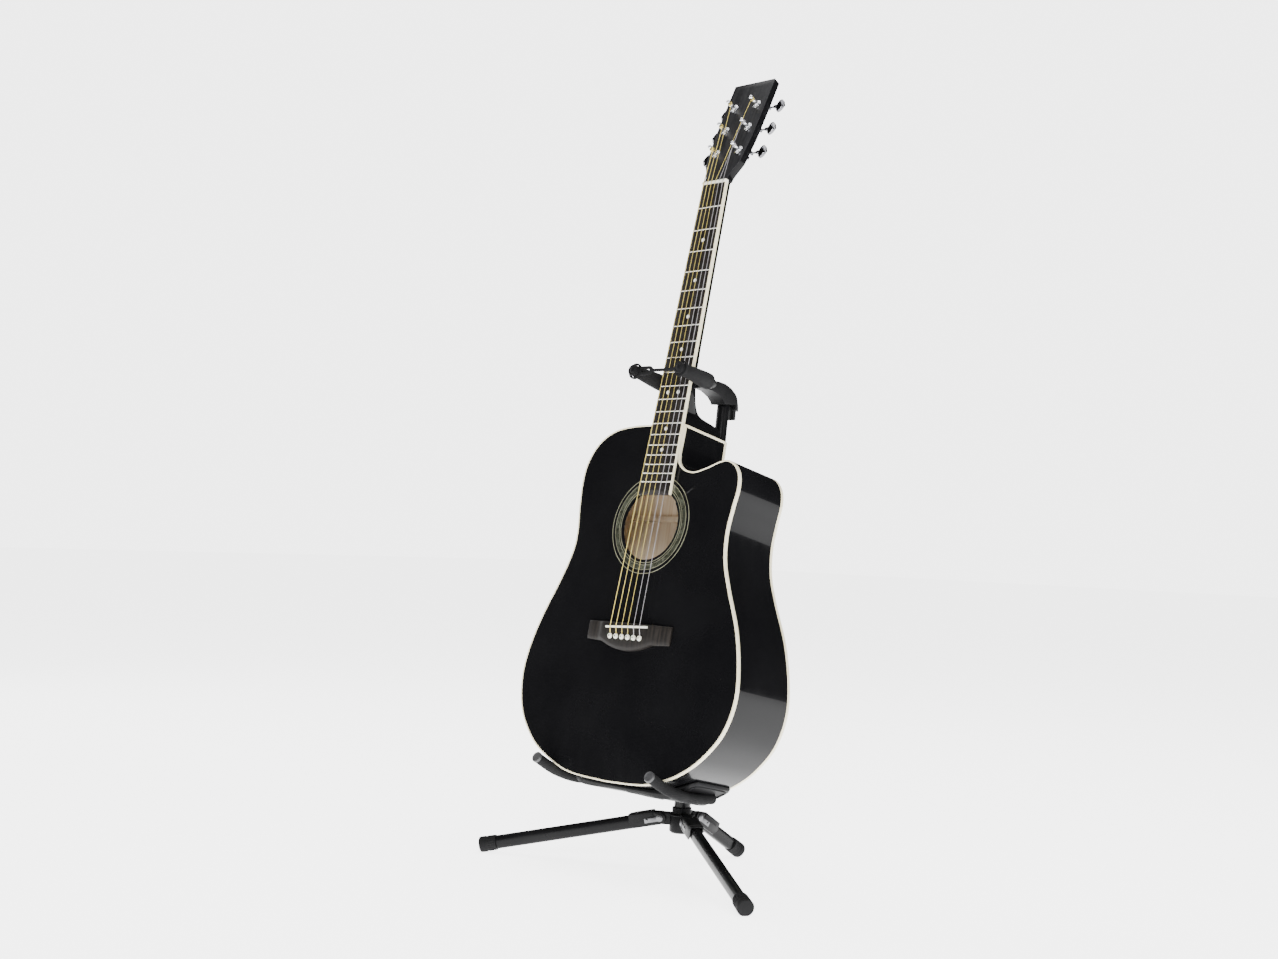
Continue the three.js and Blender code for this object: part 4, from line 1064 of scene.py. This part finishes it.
settle(cradle, row_frame, "stand", "black_moulding", moulded_plastic, "cradle")
arm_cap_profile = [(6.9, -4.2), (7.5, -3.9), (7.5, -1.2), (6.9, -0.3), (5.2, 0.15), (2.5, 0.3), (0.6, 0.35)]
arm_route = [(60, 115.3), (36, 117.4), (14, 120.4), (-12, 127.6), (-38, 138.3), (-68, 155.6)]
cap_paint, tree = finish("grey_cap_plastic", (0.09, 0.09, 0.095), 0.4)
roughen(tree, grain(tree, 60), 0.34, 0.5)
tint(tree, grain(tree, 40), (0.3, (0.03, 0.03, 0.032)), (0.7, (0.05, 0.05, 0.052)))
for name, x in (("left", -105), ("right", 105)):
    path = [Vector((x, p.x, p.y)) for p in curve_through(arm_route, 6)]
    arm = sweep(f"rubber_arm_{name}", path, [7.0] + [7.2] * (len(path) - 3) + [6.8, 5.6], 28, 40)
    settle(arm, stand_frame, "stand", "rubber", soft_rubber, f"cradle_arm_{name}")
    ahead = (path[-1] - path[-2]).normalized()
    end_cap = turned(f"arm_end_cap_{name}", arm_cap_profile, 32)
    placed(end_cap, Matrix.Translation(path[-1]), ahead.to_track_quat("Z", "Y").to_matrix().to_4x4())
    settle(end_cap, stand_frame, "stand", "rubber", cap_paint)

# ---- Yoke ----
# A moulded arm on top of the mast carries a bent bar whose two prongs stand on either side of the
# neck. Behind it hangs the black steel lever that lets the mast slide.
yoke = recut("moulded_yoke", "yoke", 0.0014, 35, 3)
settle(yoke, row_frame, "mast_top", "black_moulding", moulded_plastic, "yoke")
lever = recut("steel_lever", "yoke_lever", 0.0006, 35)
settle(lever, row_frame, "lever", "steel", powder_coat, "yoke_lever")

# ---- Yoke pads and strap ----
# Soft rubber sleeves pushed over the prongs, each closed with a round end button. A slotted rubber
# band hooks over both and keeps the neck in.
yoke_half = 43
yoke_v = 355
pad_profile = [(7.4, -20), (9.6, -20), (10.6, -19.3), (11.3, -17.8), (11.5, -15.5), (11.5, -13), (11.4, -6),
               (11.0, 0),
               (10.3, 10), (9.4, 22), (8.7, 32), (8.2, 39), (8.0, 42), (7.8, 44.5), (7.6, 45.6)]
pad_button_profile = [(7.8, 44.6), (8.0, 45.0), (8.0, 46.6), (7.5, 47.3), (6.4, 47.6), (5.7, 47.3), (5.4, 46.7),
                      (5.0, 46.7), (4.6, 47.2), (3.4, 47.8), (1.8, 48.1), (0.4, 48.15)]
for name, x in (("left", -yoke_half), ("right", yoke_half)):
    pad = turned(f"rubber_pad_{name}", pad_profile, 40)
    placed(pad, guitar_frame, Matrix.Translation((x, yoke_v, 0)))
    settle(pad, row_frame, "mast_top", "rubber", soft_rubber, f"yoke_pad_{name}")
    button = turned(f"pad_button_{name}", pad_button_profile, 40, angle=50)
    placed(button, guitar_frame, Matrix.Translation((x, yoke_v, 0)))
    settle(button, row_frame, "mast_top", "rubber", moulded_plastic)
strap = recut("rubber_strap", "neck_strap", 0.0007, 35, 2)
settle(strap, row_frame, "mast_top", "rubber", soft_rubber, "neck_strap")
